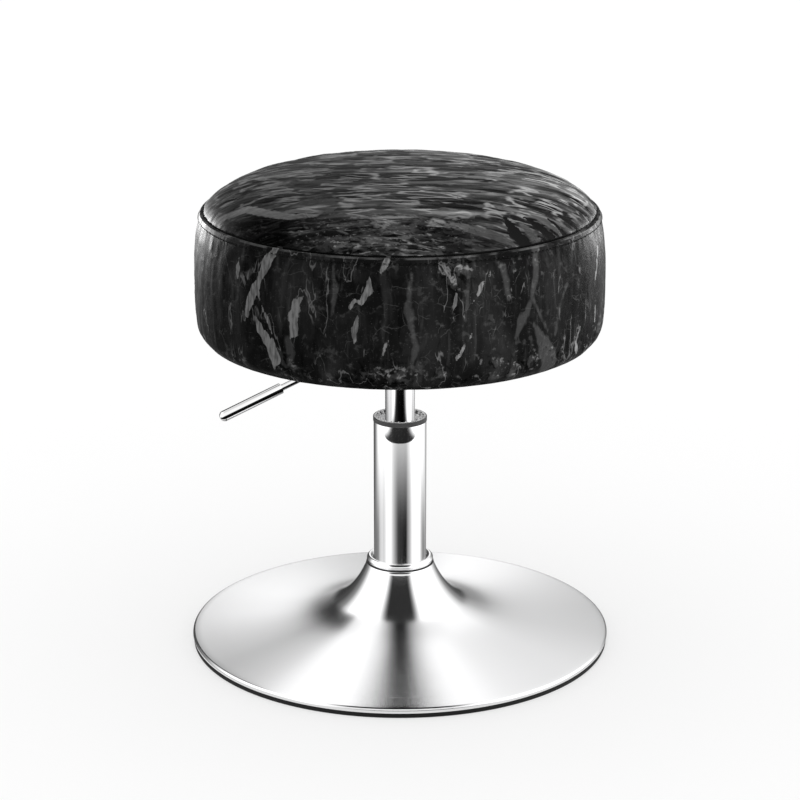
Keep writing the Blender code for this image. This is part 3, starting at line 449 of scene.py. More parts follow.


# Height lever. A bent steel rod that turns on a rivet in the channel, with a chromed grip pushed
# over its end. Both are polished chrome, and both carry a painted reflection in their colour: dark
# and bright bands along them, by the angle round the lever.
def turn_share(tree, across, ahead):
    """A bearing as a share of a whole turn, which is 0.5 straight ahead."""
    bearing = maths(tree, "ARCTAN2", across, ahead)
    return maths(tree, "MULTIPLY_ADD", bearing, 0.5 / math.pi, 0.5)


def bands(tree, share, *stops):
    """Greys all the way round, from (degrees from straight ahead, brightness) stops."""
    return shades(tree, share, *((angle / 360 + 0.5, (grey,) * 3) for angle, grey in stops))


lever_place = lever_turn @ Matrix.Translation((0.03, 0, 0.2868))
rod_chrome, tree, shader, place = streaked_chrome("lever chrome", (70, 70, 1800))
droop, bend_radius, rod_radius = math.radians(18.9), 0.012, 0.003
arm_length, bend_reach, grip_reach, rod_in_grip = 0.036, 0.0258, 0.0688, 0.04
lever_top = lever_turn @ Vector((math.sin(droop), 0, math.cos(droop)))
lever_side = lever_turn @ Vector((0, 1, 0))
# The lever's colour is a painted reflection: grey bands round its axis.
place = vectors(tree, "SUBTRACT", place, lever_place @ Vector((bend_reach, 0, 0)))
upwards = vectors(tree, "DOT_PRODUCT", place, lever_top)
sideways = vectors(tree, "DOT_PRODUCT", place, lever_side)
painted_reflection_bands = bands(
    tree, turn_share(tree, sideways, upwards),
    (-180, 0.5), (-40, 0.3), (-20, 0.55), (30, 0.6), (46, 0.85), (66, 0.85), (72, 0.004),
    (101, 0.004), (106, 0.8), (113, 0.8), (119, 0.2), (130, 0.25), (137, 0.75),
)
tree.links.new(painted_reflection_bands, shader.inputs["Base Color"])
bend_start = bend_reach - bend_radius * math.tan(droop / 2)
rod = bmesh.new()
bmesh.ops.create_circle(
    rod, cap_ends=True, segments=32, radius=rod_radius,
    matrix=Matrix.Translation((-arm_length, 0, 0)) @ Matrix.Rotation(math.pi / 2, 4, "Y"),
)


def drawn_on(shape, faces, move):
    """Extrudes a rod's end face, and returns the new end."""
    grown = bmesh.ops.extrude_face_region(shape, geom=faces)["geom"]
    points = [part for part in grown if isinstance(part, bmesh.types.BMVert)]
    bmesh.ops.translate(shape, verts=points, vec=move)
    return [part for part in grown if isinstance(part, bmesh.types.BMFace)]


end = drawn_on(rod, rod.faces[:], (arm_length + bend_start, 0, 0))
bent = bmesh.ops.spin(
    rod, geom=end, cent=(bend_start, 0, -bend_radius), axis=(0, 1, 0), angle=droop, steps=8
)["geom_last"]
end = [part for part in bent if isinstance(part, bmesh.types.BMFace)]
along = Vector((math.cos(droop), 0, -math.sin(droop)))
bend_left = bend_radius * math.tan(droop / 2)
drawn_on(rod, end, along * (grip_reach + rod_in_grip - bend_left))
bmesh.ops.recalc_face_normals(rod, faces=rod.faces)
bmesh.ops.transform(rod, matrix=lever_place, verts=rod.verts)
piece("lever_rod_bent", rod, rod_chrome, "lever", "zinc_steel", "lever_rod")

eye_profile = [
    (0.0052, 0.006, 0.0005), (0.0052, -0.006, 0.0005), (0.0028, -0.006, 0), (0.0028, 0.006, 0),
]
eye = turned(eye_profile, 48)
bmesh.ops.transform(
    eye, matrix=lever_place @ Matrix.Rotation(math.pi / 2, 4, "X"), verts=eye.verts
)
piece("lever_eye", eye, zinc_steel, "lever", "zinc_steel")

grip_profile = [
    (0, 0.064, 0), (0.0021, 0.0639, 0.0003), (0.0044, 0.0624, 0.0012), (0.0052, 0.0604, 0.001),
    (0.0052, 0, 0.0006), (0.0034, 0, 0.0003), (0.0034, 0.0403, 0), (0, 0.0403, 0),
]
grip = turned(grip_profile, 64, False)
grip_place = Matrix.Translation(Vector((bend_reach, 0, 0)) + along * grip_reach)
grip_place = lever_place @ grip_place @ Matrix.Rotation(math.pi / 2 + droop, 4, "Y")
bmesh.ops.transform(grip, matrix=grip_place, verts=grip.verts)
piece("chrome_lever_grip", grip, rod_chrome, "lever", "chrome", "lever_grip")


# Seat board. Plywood inside the seat, which the pad is glued on and the cover is stapled to.
# Four nuts let into it take the plate's bolts.
plywood, tree, shader, place = finish_of("plywood", (0.5, 0.34, 0.18), 0.65)
plies = add(tree, "TexWave", {"Vector": place, "Scale": 30.0, "Distortion": 6.0, "Detail": 3.0})
tone = shades(tree, plies.outputs[0], (0, (0.42, 0.27, 0.13)), (1, (0.58, 0.41, 0.23)))
tree.links.new(tone, shader.inputs["Base Color"])
dress(plywood, "seat_board")


# Seat pad and cover. Foam under a crushed faux leather: black, with splinters of grey where the
# creases turned its nap, sewn from a crown and a side band and pulled under the board.
seat_bottom, side_top, crown_bottom, crown_rise = 0.3005, 0.4165, 0.4225, 0.0338
side_round, crown_edge, seam_depth, hem_radius = 0.19, 0.1819, 0.0035, 0.151
widest_radius, widest_above, top_draw, low_draw, low_span = 0.191, 0.0525, 0.0052, 0.001, 0.0325
bottom_round, bottom_edge = 0.02, 0.17


def evenly(line, gap):
    """Spaces the points of a line by an even gap."""
    spaced = [line[0]]
    since = 0.0
    for start, end in zip(line, line[1:]):
        length = math.dist(start, end)
        while since + length >= gap:
            share = (gap - since) / length
            start = tuple(a + (b - a) * share for a, b in zip(start, end))
            spaced.append(start)
            length = math.dist(start, end)
            since = 0.0
        since += length
    if since > gap / 4:
        spaced.append(line[-1])
    return spaced


def side_radius(height):
    """Outer radius of the seat's side."""
    widest = seat_bottom + widest_above
    if height < widest:
        return widest_radius - low_draw * ((widest - height) / low_span) ** 2
    return widest_radius - top_draw * ((height - widest) / (side_top - widest)) ** 3


crown_line = []
for i in range(401):
    share = math.sin(math.pi / 2 * i / 400)
    rise = crown_rise * (1 - share**4.3) ** (1 / 1.39)
    crown_line.append((share * crown_edge, crown_bottom + rise))
side_line = []
for i in range(101):
    height = side_top - (side_top - seat_bottom - bottom_round) * i / 100
    side_line.append((side_radius(height), height))
for i in range(1, 41):
    turn = math.radians(-90 / 40 * i)
    height = seat_bottom + bottom_round * (1 + math.sin(turn))
    side_line.append((bottom_edge + bottom_round * math.cos(turn), height))
board_radius, board_bottom, board_top = 0.1703, seat_bottom + 0.0014, seat_bottom + 0.0137
tuck_line = [
    (crown_edge - 0.0009, crown_bottom - 0.0005), (crown_edge - seam_depth, crown_bottom - 0.0008),
    (crown_edge - seam_depth, side_top + 0.001), (0.1845, side_top + 0.0006),
]
hem_line = [
    (0.163, seat_bottom), (hem_radius, seat_bottom), (hem_radius - 0.0006, seat_bottom + 0.0007),
    (hem_radius, board_bottom), (board_radius, board_bottom), (board_radius, board_top),
    (0, board_top),
]
crown_gap, side_gap = 0.0022, 0.0018
pad_line = evenly(crown_line, crown_gap) + tuck_line + evenly(side_line, side_gap) + hem_line


def ringed(line, steps):
    """Turns a line that begins and ends on the axis, in more steps than a spin is quick at."""
    shape = bmesh.new()
    rings = []
    for radius, height in line:
        if radius < 1e-6:
            rings.append([shape.verts.new((0, 0, height))] * steps)
            continue
        turns = (2 * math.pi * number / steps for number in range(steps))
        rings.append(
            [shape.verts.new((radius * math.cos(t), radius * math.sin(t), height)) for t in turns]
        )
    for upper, lower in zip(rings, rings[1:]):
        for number in range(steps):
            corners = (upper[number - 1], lower[number - 1], lower[number], upper[number])
            shape.faces.new(dict.fromkeys(corners))
    bmesh.ops.recalc_face_normals(shape, faces=shape.faces)
    return shape


pad_shape = ringed(pad_line, 720)


# The drawn marks. On the side they go by degrees from the front and height, and on the crown,
# rolled out flat, by places right and back of its middle. The third number is the width. All
# lengths are in millimetres.
pale_marks = [
    [(-35, 425, 5), (-38, 411, 9.5), (-40, 395, 6.5), (-43, 378, 9.5), (-45, 358, 5)],
    [(-42, 360, 0.8), (-40, 349, 6.5), (-37, 337, 12), (-35, 323, 12), (-36, 314, 1)],
    [(-26, 385, 1), (-28, 378, 7.5), (-29, 365, 10), (-29, 350, 7), (-30, 345, 1)],
    [(-8, 408, 1), (-8, 395, 6.5), (-10, 383, 3), (-12, 385, 4), (-13, 378, 1)],
    [(-11, 372, 1), (-12, 357, 6), (-12, 347, 1.5)],
    [(-49, 407, 1), (-49, 399, 5), (-49, 389, 1)],
    [(-41, 383, 1), (-39, 367, 2), (-37, 356, 1.8), (-36, 347, 0.8)],
    [(-3, 423, 4), (-4, 417, 5), (-5, 409, 1)],
    [(-3, 351, 1), (-4, 342, 4), (-5, 334, 1.5)],
    [(11, 418, 4), (13, 405, 1.4), (15, 390, 1.8), (14, 378, 2), (14, 367, 1)],
    [(25, 410, 0.8), (24, 402, 1.2), (22, 397, 1.6), (21, 390, 3.4), (19, 381, 0.8)],
    [(19, 354, 0.8), (17, 343, 1.5), (15, 331, 1)],
    [(71, 400, 4), (67, 371, 3), (68, 335, 2)],
    [(58, 338, 1), (56, 325, 4), (57, 316, 6), (58, 310, 1)],
]
soft_marks = [
    [(-31, 346, 4), (-30, 333, 8), (-31, 320, 3)],
    [(-45, 394, 6), (-43, 400, 1.5)],
    [(18, 416, 1.2), (18, 399, 2.4), (18, 388, 2.6), (17, 366, 1.5)],
    [(40, 424, 9), (39, 408, 6.5), (38, 388, 4), (37, 380, 2.5), (41, 355, 2), (43, 345, 1.5)],
    [(37, 377, 2), (34, 359, 9), (32, 345, 2)],
    [(51, 383, 1.5), (48, 367, 1.8), (46, 339, 1.4)],
    [(38, 353, 2), (42, 332, 15), (45, 312, 20)],
    [(28, 412, 3), (29, 397, 7), (30, 380, 2)],
    [(-18, 412, 1), (-17, 395, 4), (-18, 370, 1)],
    [(3, 408, 2), (2, 380, 6), (4, 345, 5), (3, 320, 2)],
]
crown_folds = [
    [
        (-197, -89, 3), (-177, -88, 9), (-150, -90, 14), (-130, -110, 13), (-105, -129, 12),
        (-79, -135, 5),
    ],
    [(36, -162, 4), (50, -160, 10), (68, -165, 15), (86, -169, 15), (99, -172, 11), (119, -178, 2)],
    [(119, -140, 6), (132, -152, 12), (141, -160, 10)],
    [(137, -124, 4), (163, -129, 9), (173, -129, 6)],
]
crown_gaps = [
    [(100, -134, 5), (116, -160, 17), (130, -170, 15)],
    [(120, -123, 4), (139, -136, 11), (158, -144, 13)],
    [(146, -113, 3), (171, -127, 7)],
    [(156, -100, 2), (190, -106, 5)],
    [(168, -61, 2), (203, -69, 4)],
    [(178, -30, 2), (210, -55, 4)],
]
chance = random.Random(11)
for number in range(46):
    lean = chance.uniform(-9, 9)
    bearing = chance.uniform(78, 282)
    top, length = chance.uniform(350, 424), chance.uniform(18, 75)
    width = chance.choice((1.5, 2.0, 3.0, 5.0, 9.0))
    bottom = max(top - length, 305)
    kink = chance.uniform(-3, 3)
    mark = [
        (bearing, top, 0.8), (bearing + lean / 2 + kink, (top + bottom) / 2 + 4, width),
        (bearing + lean, bottom, 1),
    ]
    (pale_marks if number % 2 else soft_marks).append(mark)
degree = math.radians(1) * side_round
once_round = 2 * math.pi * side_round


def in_metres(marks, unit):
    """Marks in metres. The unit is that of their first number."""
    return [[(a * unit, b / 1000, width / 1000) for a, b, width in mark] for mark in marks]


def inside(flat, marks):
    """How far inside the nearest mark each flat place lies. The side repeats once round."""
    deepest = numpy.full(len(flat), -0.02)
    for mark in marks:
        for (x, y, width), (next_x, next_y, next_width) in zip(mark, mark[1:]):
            run, climb = next_x - x, next_y - y
            off = (flat[:, 0] - x + once_round / 2) % once_round - once_round / 2
            rise = flat[:, 1] - y
            share = numpy.clip((off * run + rise * climb) / (run**2 + climb**2), 0, 1)
            away = numpy.hypot(off - share * run, rise - share * climb)
            deepest = numpy.maximum(deepest, (width + (next_width - width) * share) / 2 - away)
    return deepest


def printed(made):
    """Keeps on a piece of the cover where its points lie in the pattern.

    The crown is rolled out flat: how far it drops is added to the distance from its middle.
    """
    mesh = made.data
    points = numpy.empty(len(mesh.vertices) * 3)
    mesh.vertices.foreach_get("co", points)
    points = points.reshape(-1, 3)
    on_crown = points[:, 2] > crown_bottom - 0.0005
    radius = numpy.maximum(numpy.hypot(points[:, 0], points[:, 1]), 0.02)
    in_seam = (radius > 0.17) & (radius < crown_edge + 0.0003)
    in_seam &= (points[:, 2] > side_top) & (points[:, 2] < crown_bottom + 0.0004)
    rolled = 1 + numpy.where(on_crown, (crown_bottom + crown_rise - points[:, 2]) / radius, 0)
    points[:, 0] *= rolled
    points[:, 1] *= rolled
    mesh.attributes.new("rest_place", "FLOAT_VECTOR", "POINT").data.foreach_set(
        "vector", points.ravel()
    )
    crown = points[:, :2]
    bearing = numpy.arctan2(points[:, 0], -points[:, 1])
    side = numpy.column_stack((bearing * side_round, points[:, 2]))
    for key, side_marks, crown_marks in (
        ("pale", pale_marks, []), ("soft", soft_marks, crown_folds), ("dark", [], crown_gaps),
    ):
        depths = numpy.where(
            on_crown, inside(crown, in_metres(crown_marks, 0.001)),
            inside(side, in_metres(side_marks, degree)),
        )
        # In the seam's groove the dark mark is painted shade.
        if key == "dark":
            depths[in_seam] = 0.002
        mesh.attributes.new(key, "FLOAT", "POINT").data.foreach_set("value", depths)


def crushed(tree, place, pale, soft, dark):
    """Adds the crushed pattern's nodes to a material's or a shape's tree.

    On the crown the streaks lie from side to side, and on the band they hang down. Returns the
    share of each kind of mark, and the relief in metres. Some marks are painted light and shade:
    the lit and shaded slopes, the bright creases and their shade, the highlight on the band's top
    edge, and the shade towards the crown's shoulder.
    """
    across, depth, height = add(tree, "SeparateXYZ", {0: place}).outputs
    on_crown = maths(tree, "GREATER_THAN", height, crown_bottom - 0.0005)

    def stretched(side, crown, where=place):
        """A place, squeezed along the streaks."""
        squeeze = add(tree, "Mix", {0: on_crown, 4: side, 5: crown}, data_type="VECTOR")
        return vectors(tree, "MULTIPLY", where, squeeze.outputs[1])

    def drifted(where, scale, reach, detail):
        """A place, moved along by a slow noise."""
        drift = add(tree, "TexNoise", {"Vector": place, "Scale": scale, "Detail": detail})
        off = vectors(tree, "SUBTRACT", drift.outputs["Color"], (0.5,) * 3)
        return vectors(tree, "MULTIPLY_ADD", off, (reach,) * 3, where)

    def edges(where, scale, width):
        """Thin straight lines with kinks."""
        cells = add(
            tree, "TexVoronoi", {"Vector": where, "Scale": scale}, feature="DISTANCE_TO_EDGE"
        ).outputs["Distance"]
        return ramp(tree, cells, 0.0, width, 1.0, 0.0)

    def patches(where, scale):
        """Flat patches, each of its own shade."""
        cells = add(tree, "TexVoronoi", {"Vector": where, "Scale": scale})
        return add(tree, "SeparateXYZ", {0: cells.outputs["Color"]}).outputs[0]

    def ridges(where, scale, detail, width):
        """Thin jagged lines, where a noise passes its middle."""
        off = maths(tree, "SUBTRACT", noise(tree, where, scale, detail), 0.5)
        return ramp(tree, maths(tree, "ABSOLUTE", off), 0.0, width, 1.0, 0.0)

    def both(*values):
        """The product of two shares."""
        return maths(tree, "MULTIPLY", *values)

    def either(*values):
        """The larger of two shares."""
        return maths(tree, "MAXIMUM", *values)

    def facing(where, level, scale, detail, rough, shift):
        """How far a noise falls towards the rear light: positive on the lit slopes."""
        behind = vectors(tree, "ADD", where, shift)
        return maths(tree, "SUBTRACT", level, noise(tree, behind, scale, detail, rough))

    streaked = drifted(stretched((1, 1, 0.16), (0.1, 0.5, 0)), 14.0, 0.012, 2.0)
    streaks = noise(tree, streaked, 90.0, 5.0, 0.55)
    streak_facing = facing(streaked, streaks, 90.0, 5.0, 0.55, (0.0008, 0.002, 0.0002))
    broad = noise(tree, drifted(stretched((1, 1, 0.3), (0.2, 0.8, 0)), 9.0, 0.03, 0.0), 42.0, 4.0)
    threads = drifted(stretched((1, 1, 0.1), (0.06, 0.9, 0)), 30.0, 0.004, 2.0)
    threads = noise(tree, threads, 110.0)
    broken = noise(tree, stretched((1, 1, 0.5), (0.4, 1, 0)), 55.0, 2.0)
    slanted = add(
        tree, "VectorRotate", {"Vector": place, "Angle": math.radians(9)}, rotation_type="Z_AXIS"
    ).outputs[0]
    large_folds = drifted(stretched((1, 1, 0.3), (0.13, 0.8, 0)), 60.0, 0.004, 2.0)
    small_folds = drifted(stretched((1, 1, 0.3), (0.18, 1, 0), slanted), 80.0, 0.003, 2.0)
    nearer = vectors(tree, "ADD", large_folds, (0, -0.0028, 0))
    creased = ramp(tree, noise(tree, place, 38.0, 2.0), 0.46, 0.56)
    fine = noise(tree, stretched((1, 1, 0.2), (0.25, 1, 0)), 420.0, 4.0)
    smoke = noise(tree, stretched((1, 1, 0.4), (0.4, 1, 0)), 26.0, 5.0)
    line_width = maths(tree, "MULTIPLY_ADD", on_crown, 0.022, 0.012)
    lines = drifted(stretched((1, 1, 0.3), (0.12, 0.6, 0)), 40.0, 0.006, 3.0)
    lines = ridges(lines, 40.0, 4.0, line_width)
    lines = both(lines, ramp(tree, noise(tree, place, 30.0, 1.0), 0.5, 0.58))
    scratches = edges(drifted(drifted(place, 30.0, 0.02, 1.0), 220.0, 0.003, 2.0), 60.0, 0.025)
    scratches = both(scratches, ramp(tree, noise(tree, place, 60.0, 2.0), 0.5, 0.6))
    specks = ramp(tree, noise(tree, place, 900.0, 1.0), 0.7, 0.78)

    front = ramp(tree, depth, -0.125, -0.165)
    centre = both(ramp(tree, across, -0.125, -0.085), ramp(tree, across, 0.095, 0.05))
    crushed_front = both(both(front, centre), on_crown)
    front_left_corner = both(ramp(tree, depth, -0.085, -0.125), ramp(tree, across, -0.095, -0.125))
    gathers = vectors(tree, "DISTANCE", place, (0.047, -0.179, 0.413))
    gathers = ramp(tree, gathers, 0.028, 0.012)
    near_hem = both(ramp(tree, height, 0.345, 0.318), ramp(tree, height, 0.303, 0.312))
    near_hem = both(near_hem, ramp(tree, noise(tree, place, 26.0, 1.0), 0.42, 0.56))
    scattered = ramp(tree, noise(tree, place, 16.0, 1.0), 0.6, 0.72, 0.14, 0.6)
    crinkled = either(either(crushed_front, near_hem), either(scattered, gathers))
    crumpled = drifted(place, 90.0, 0.008, 2.0)
    crumple = noise(tree, crumpled, 90.0, 4.0)
    crumple_facing = facing(crumpled, crumple, 90.0, 4.0, 0.5, (0.0005, 0.0014, 0.0014))

    rough_edge = noise(tree, stretched((1, 1, 0.5), (1, 1, 0)), 170.0, 5.0)
    rough_edge = maths(tree, "MULTIPLY_ADD", rough_edge, 0.008, -0.004)
    pale_share = ramp(tree, maths(tree, "ADD", pale, rough_edge), -0.0002, 0.0004)
    soft_share = ramp(tree, maths(tree, "ADD", soft, rough_edge), -0.0016, 0.0012)
    dark_share = ramp(tree, maths(tree, "ADD", dark, rough_edge), -0.0004, 0.0006)

    relief = both(maths(tree, "SUBTRACT", broad, 0.5), 0.0022)
    for rise, most in (
        (maths(tree, "SUBTRACT", streaks, 0.5), 0.0008), (lines, 0.0003),
        (both(maths(tree, "SUBTRACT", crumple, 0.5), crinkled), 0.002),
        (pale_share, 0.0002), (dark_share, -0.0005),
    ):
        relief = maths(tree, "MULTIPLY_ADD", rise, most, relief)
    relief = both(relief, ramp(tree, height, 0.301, 0.33, 0.3, 1.0))
    return {
        "on_crown": on_crown, "across": across, "streaks": streaks, "broad": broad, "fine": fine,
        "smoke": smoke, "lines": lines, "scratches": scratches, "specks": specks,
        "lit": both(ramp(tree, crumple_facing, 0.05, 0.14), crinkled),
        "shaded": both(ramp(tree, crumple_facing, -0.02, -0.1), crinkled),
        "faces": both(ramp(tree, crumple, 0.52, 0.62), crinkled),
        "streak_lit": ramp(tree, streak_facing, 0.05, 0.17),
        "streak_shaded": ramp(tree, streak_facing, -0.04, -0.15),
        "large_folds": patches(large_folds, 60.0), "small_folds": patches(small_folds, 90.0),
        # The creases are bright lines painted as lit edges, and crease_shade is their painted shade
        # beside them.
        "creases": both(
            either(edges(large_folds, 60.0, 0.1), edges(small_folds, 90.0, 0.09)), creased
        ),
        "crease_shade": both(edges(nearer, 60.0, 0.16), creased),
        "threads": both(ramp(tree, threads, 0.53, 0.63), ramp(tree, broken, 0.45, 0.58)),
        "gaps": both(ramp(tree, threads, 0.45, 0.36), ramp(tree, broken, 0.6, 0.5)),
        # A painted highlight along the band's top edge, broken up by noise.
        "band_edge_highlight": both(ramp(tree, height, 0.42, 0.4206), ramp(tree, broken, 0.4, 0.6)),
        "pale": pale_share, "soft": soft_share, "dark": dark_share,
        "front_left_darkened": both(front_left_corner, on_crown),
        # Painted shade: the crown darkens towards its lower edge, most at the front.
        "shoulder": ramp(
            tree, maths(tree, "MULTIPLY_ADD", depth, 0.1, height), 0.415, 0.44, 0.35, 1.0
        ),
        "relief": relief,
    }


cover_leather, tree, shader, place = finish_of(
    "crushed cover", (0.015, 0.015, 0.016), 0.42, Specular_IOR_Level=0.004
)
attributes = [add(tree, "Attribute", attribute_name=key) for key in ("pale", "soft", "dark")]
pattern = crushed(
    tree, add(tree, "Attribute", attribute_name="rest_place").outputs["Vector"],
    *(made.outputs["Fac"] for made in attributes),
)


def laid_on(tone, share, strength):
    """A tone with a mark's own tone added."""
    return maths(tree, "MULTIPLY_ADD", share, strength, tone)


def toned_down(tone, share, rest):
    """A tone that a mark leaves only a rest of."""
    return maths(tree, "MULTIPLY", tone, ramp(tree, share, 0.0, 1.0, 1.0, rest))


def painted(tone, share, over):
    """A tone with another one painted over it."""
    return add(tree, "Mix", {0: share, 2: tone, 3: over}, data_type="FLOAT").outputs[0]


def changed(tone, *changes):
    """A tone after a list of such changes."""
    for change, share, amount in changes:
        tone = change(tone, share, amount)
    return tone


def level(key, low, high):
    """How far a part of the pattern is from one level to another."""
    return ramp(tree, pattern[key], low, high)


side_tone = changed(
    0.0035,
    (laid_on, level("smoke", 0.45, 0.75), 0.008),
    (laid_on, level("streaks", 0.52, 0.72), 0.008),
    (laid_on, pattern["streak_lit"], 0.008),
    (toned_down, pattern["streak_shaded"], 0.6),
    (laid_on, pattern["scratches"], 0.018),
    (laid_on, pattern["specks"], 0.03),
    (laid_on, pattern["lines"], 0.06),
    (laid_on, pattern["soft"], 0.02),
    (laid_on, pattern["band_edge_highlight"], 0.04),
)
crown_tone = changed(
    0.01,
    (laid_on, level("large_folds", 0.3, 1.0), 0.05),
    (laid_on, level("small_folds", 0.4, 1.0), 0.03),
    (laid_on, level("streaks", 0.44, 0.6), 0.02),
    (toned_down, level("broad", 0.44, 0.36), 0.5),
    (toned_down, pattern["streak_shaded"], 0.5),
    (toned_down, pattern["gaps"], 0.4),
    (toned_down, pattern["crease_shade"], 0.25),
    (laid_on, pattern["streak_lit"], 0.04),
    (laid_on, pattern["threads"], 0.085),
    (laid_on, pattern["creases"], 0.2),
    (laid_on, pattern["lines"], 0.06),
)
# Painted shade: the crown is darker on its left.
painted_left_shade = ramp(tree, pattern["across"], -0.15, 0.1, 0.35, 1.0)
crown_tone = maths(tree, "MULTIPLY", crown_tone, painted_left_shade)
# The crown's front left corner is darker.
crown_tone = toned_down(crown_tone, pattern["front_left_darkened"], 0.12)
crown_tone = painted(crown_tone, pattern["soft"], laid_on(0.08, level("fine", 0.3, 0.7), 0.04))
# Painted shade towards the crown's shoulder.
crown_tone = maths(tree, "MULTIPLY", crown_tone, pattern["shoulder"])
tone = changed(
    painted(side_tone, pattern["on_crown"], crown_tone),
    (toned_down, pattern["shaded"], 0.3),
    (laid_on, pattern["faces"], 0.015),
    (laid_on, pattern["lit"], 0.085),
    # The dark marks: the crown's gaps, and painted shade in the seam's groove.
    (painted, pattern["dark"], 0.006),
    (painted, pattern["pale"], laid_on(0.055, level("fine", 0.33, 0.67), 0.075)),
)
tree.links.new(tone, shader.inputs["Base Color"])
dulled(tree, shader, pattern["streaks"], 0.5, 0.34)
bumped(tree, shader, noise(tree, place, 1100.0), 0.3, 0.0002)

cushion = piece(
    "padded_seat", pad_shape, cover_leather, "lift", "cover_leather",
    "seat_foam", "cover_top", "cover_side", sharp=80,
)
printed(cushion)

# The cover is blown up over a slightly smaller pad, held at the seam and at the hem, and what
# it swells by is carried over to the finer mesh.
slack, most_swell, gap, frames, hem_top = 0.0008, 0.0022, 0.006, 20, 0.304
loose_line = [
    (max(radius - slack, 0), height - slack, 0) for radius, height in evenly(crown_line, gap)
]
loose_line += [(radius - slack, height, 0) for radius, height in evenly(side_line, gap)]
loose = piece(
    "loose_cover", turned(loose_line + [(0, seat_bottom, 0)], 160, False), cover_leather,
    "lift", "cover_leather",
)
voxels = loose.modifiers.new("voxels", "REMESH")
voxels.mode = "VOXEL"
voxels.voxel_size = 0.005
set_in_mesh(loose)
held = loose.vertex_groups.new(name="held")
starts = [point.co.copy() for point in loose.data.vertices]
for number, co in enumerate(starts):
    at_seam = abs(co.z - crown_bottom) < 0.004 and co.xy.length > 0.17
    if at_seam or co.z < seat_bottom + 0.0215:
        held.add([number], 1.0, "REPLACE")
swell = loose.modifiers.new("swell", "CLOTH")
swell.settings.use_pressure = True
swell.settings.uniform_pressure_force = 4
swell.settings.effector_weights.gravity = 0
swell.settings.vertex_group_mass = "held"
swell.settings.shrink_min = -0.01
swell.point_cache.frame_end = frames
for number in range(1, frames + 1):
    bpy.context.scene.frame_set(number)
set_in_mesh(loose)
nearest = KDTree(len(starts))
for number, co in enumerate(starts):
    nearest.insert(co, number)
nearest.balance()
moves = [point.co - co for point, co in zip(loose.data.vertices, starts)]
ease = most_swell / max(move.length for move in moves)
bpy.context.scene.frame_set(1)
normals = [point.normal.copy() for point in cushion.data.vertices]
for point, normal in zip(cushion.data.vertices, normals):
    over_board = point.co.z < board_top + 0.001 and point.co.xy.length < board_radius + 0.0007
    if point.co.z < hem_top or over_board:
        continue
    move = Vector()
    total = 0.0
    for _, number, away in nearest.find_n(point.co, 5):
        weight = 1 / (away + 0.001)
        move += moves[number] * weight
        total += weight
    move *= ease / total
    point.co += move - normal * slack
bpy.data.objects.remove(loose)

crush = bpy.data.node_groups.new("crush", "GeometryNodeTree")
crush.interface.new_socket("Geometry", in_out="INPUT", socket_type="NodeSocketGeometry")
crush.interface.new_socket("Geometry", in_out="OUTPUT", socket_type="NodeSocketGeometry")
start = crush.nodes.new("NodeGroupInput")
end = crush.nodes.new("NodeGroupOutput")


def kept(key, kind):
    """Reads one of the cover's attributes."""
    made = crush.nodes.new("GeometryNodeInputNamedAttribute")
    made.data_type = kind
    made.inputs["Name"].default_value = key
    return made.outputs[0]


crush_pattern = crushed(
    crush, kept("rest_place", "FLOAT_VECTOR"), kept("pale", "FLOAT"), kept("soft", "FLOAT"),
    kept("dark", "FLOAT"),
)
push = crush.nodes.new("GeometryNodeSetPosition")
crush.links.new(start.outputs[0], push.inputs["Geometry"])
outwards = crush.nodes.new("GeometryNodeInputNormal").outputs[0]
offset = add(
    crush, "VectorMath", {0: outwards, "Scale": crush_pattern["relief"]}, operation="SCALE"
)
crush.links.new(offset.outputs[0], push.inputs["Offset"])
crush.links.new(push.outputs[0], end.inputs[0])
creasing = cushion.modifiers.new("crush", "NODES")
creasing.node_group = crush
set_in_mesh(cushion)


# Seam band. A flat strip of the same cover between the crown and the side, turned in along its
# top edge and top-stitched along its lower one with black thread.
band_top = crown_bottom - 0.001
band_profile = [
    (0.1842, band_top, 0.0007), (0.1863, side_top, 0.0006), (0.1838, side_top, 0.0004),
    (0.1814, band_top, 0.0004),
]
band = piece(
    "seam_band", turned(band_profile, 360), cover_leather, "lift", "cover_leather", "seam_welt"
)
printed(band)

black_thread, tree, shader, place = finish_of(
    "black thread", (0.003, 0.003, 0.003), 0.7, Specular_IOR_Level=0.02
)
twist = add(tree, "TexWave", {"Vector": place, "Scale": 900.0, "Distortion": 1.0}).outputs["Fac"]
bumped(tree, shader, twist, 0.4, 0.0001)
stitch_count, stitch_size = 264, Matrix.Diagonal((0.0004, 0.00045, 0.0014, 1))
lying = Matrix.Translation((0.1861, 0, side_top + 0.0007)) @ Matrix.Rotation(math.pi / 2, 4, "X")
stitches = bmesh.new()
for number in range(stitch_count):
    turn = Matrix.Rotation(2 * math.pi * number / stitch_count, 4, "Z")
    bmesh.ops.create_uvsphere(
        stitches, u_segments=6, v_segments=6, radius=1, matrix=turn @ lying @ stitch_size
    )
piece("seam_stitches", stitches, black_thread, "lift", "cover_leather")


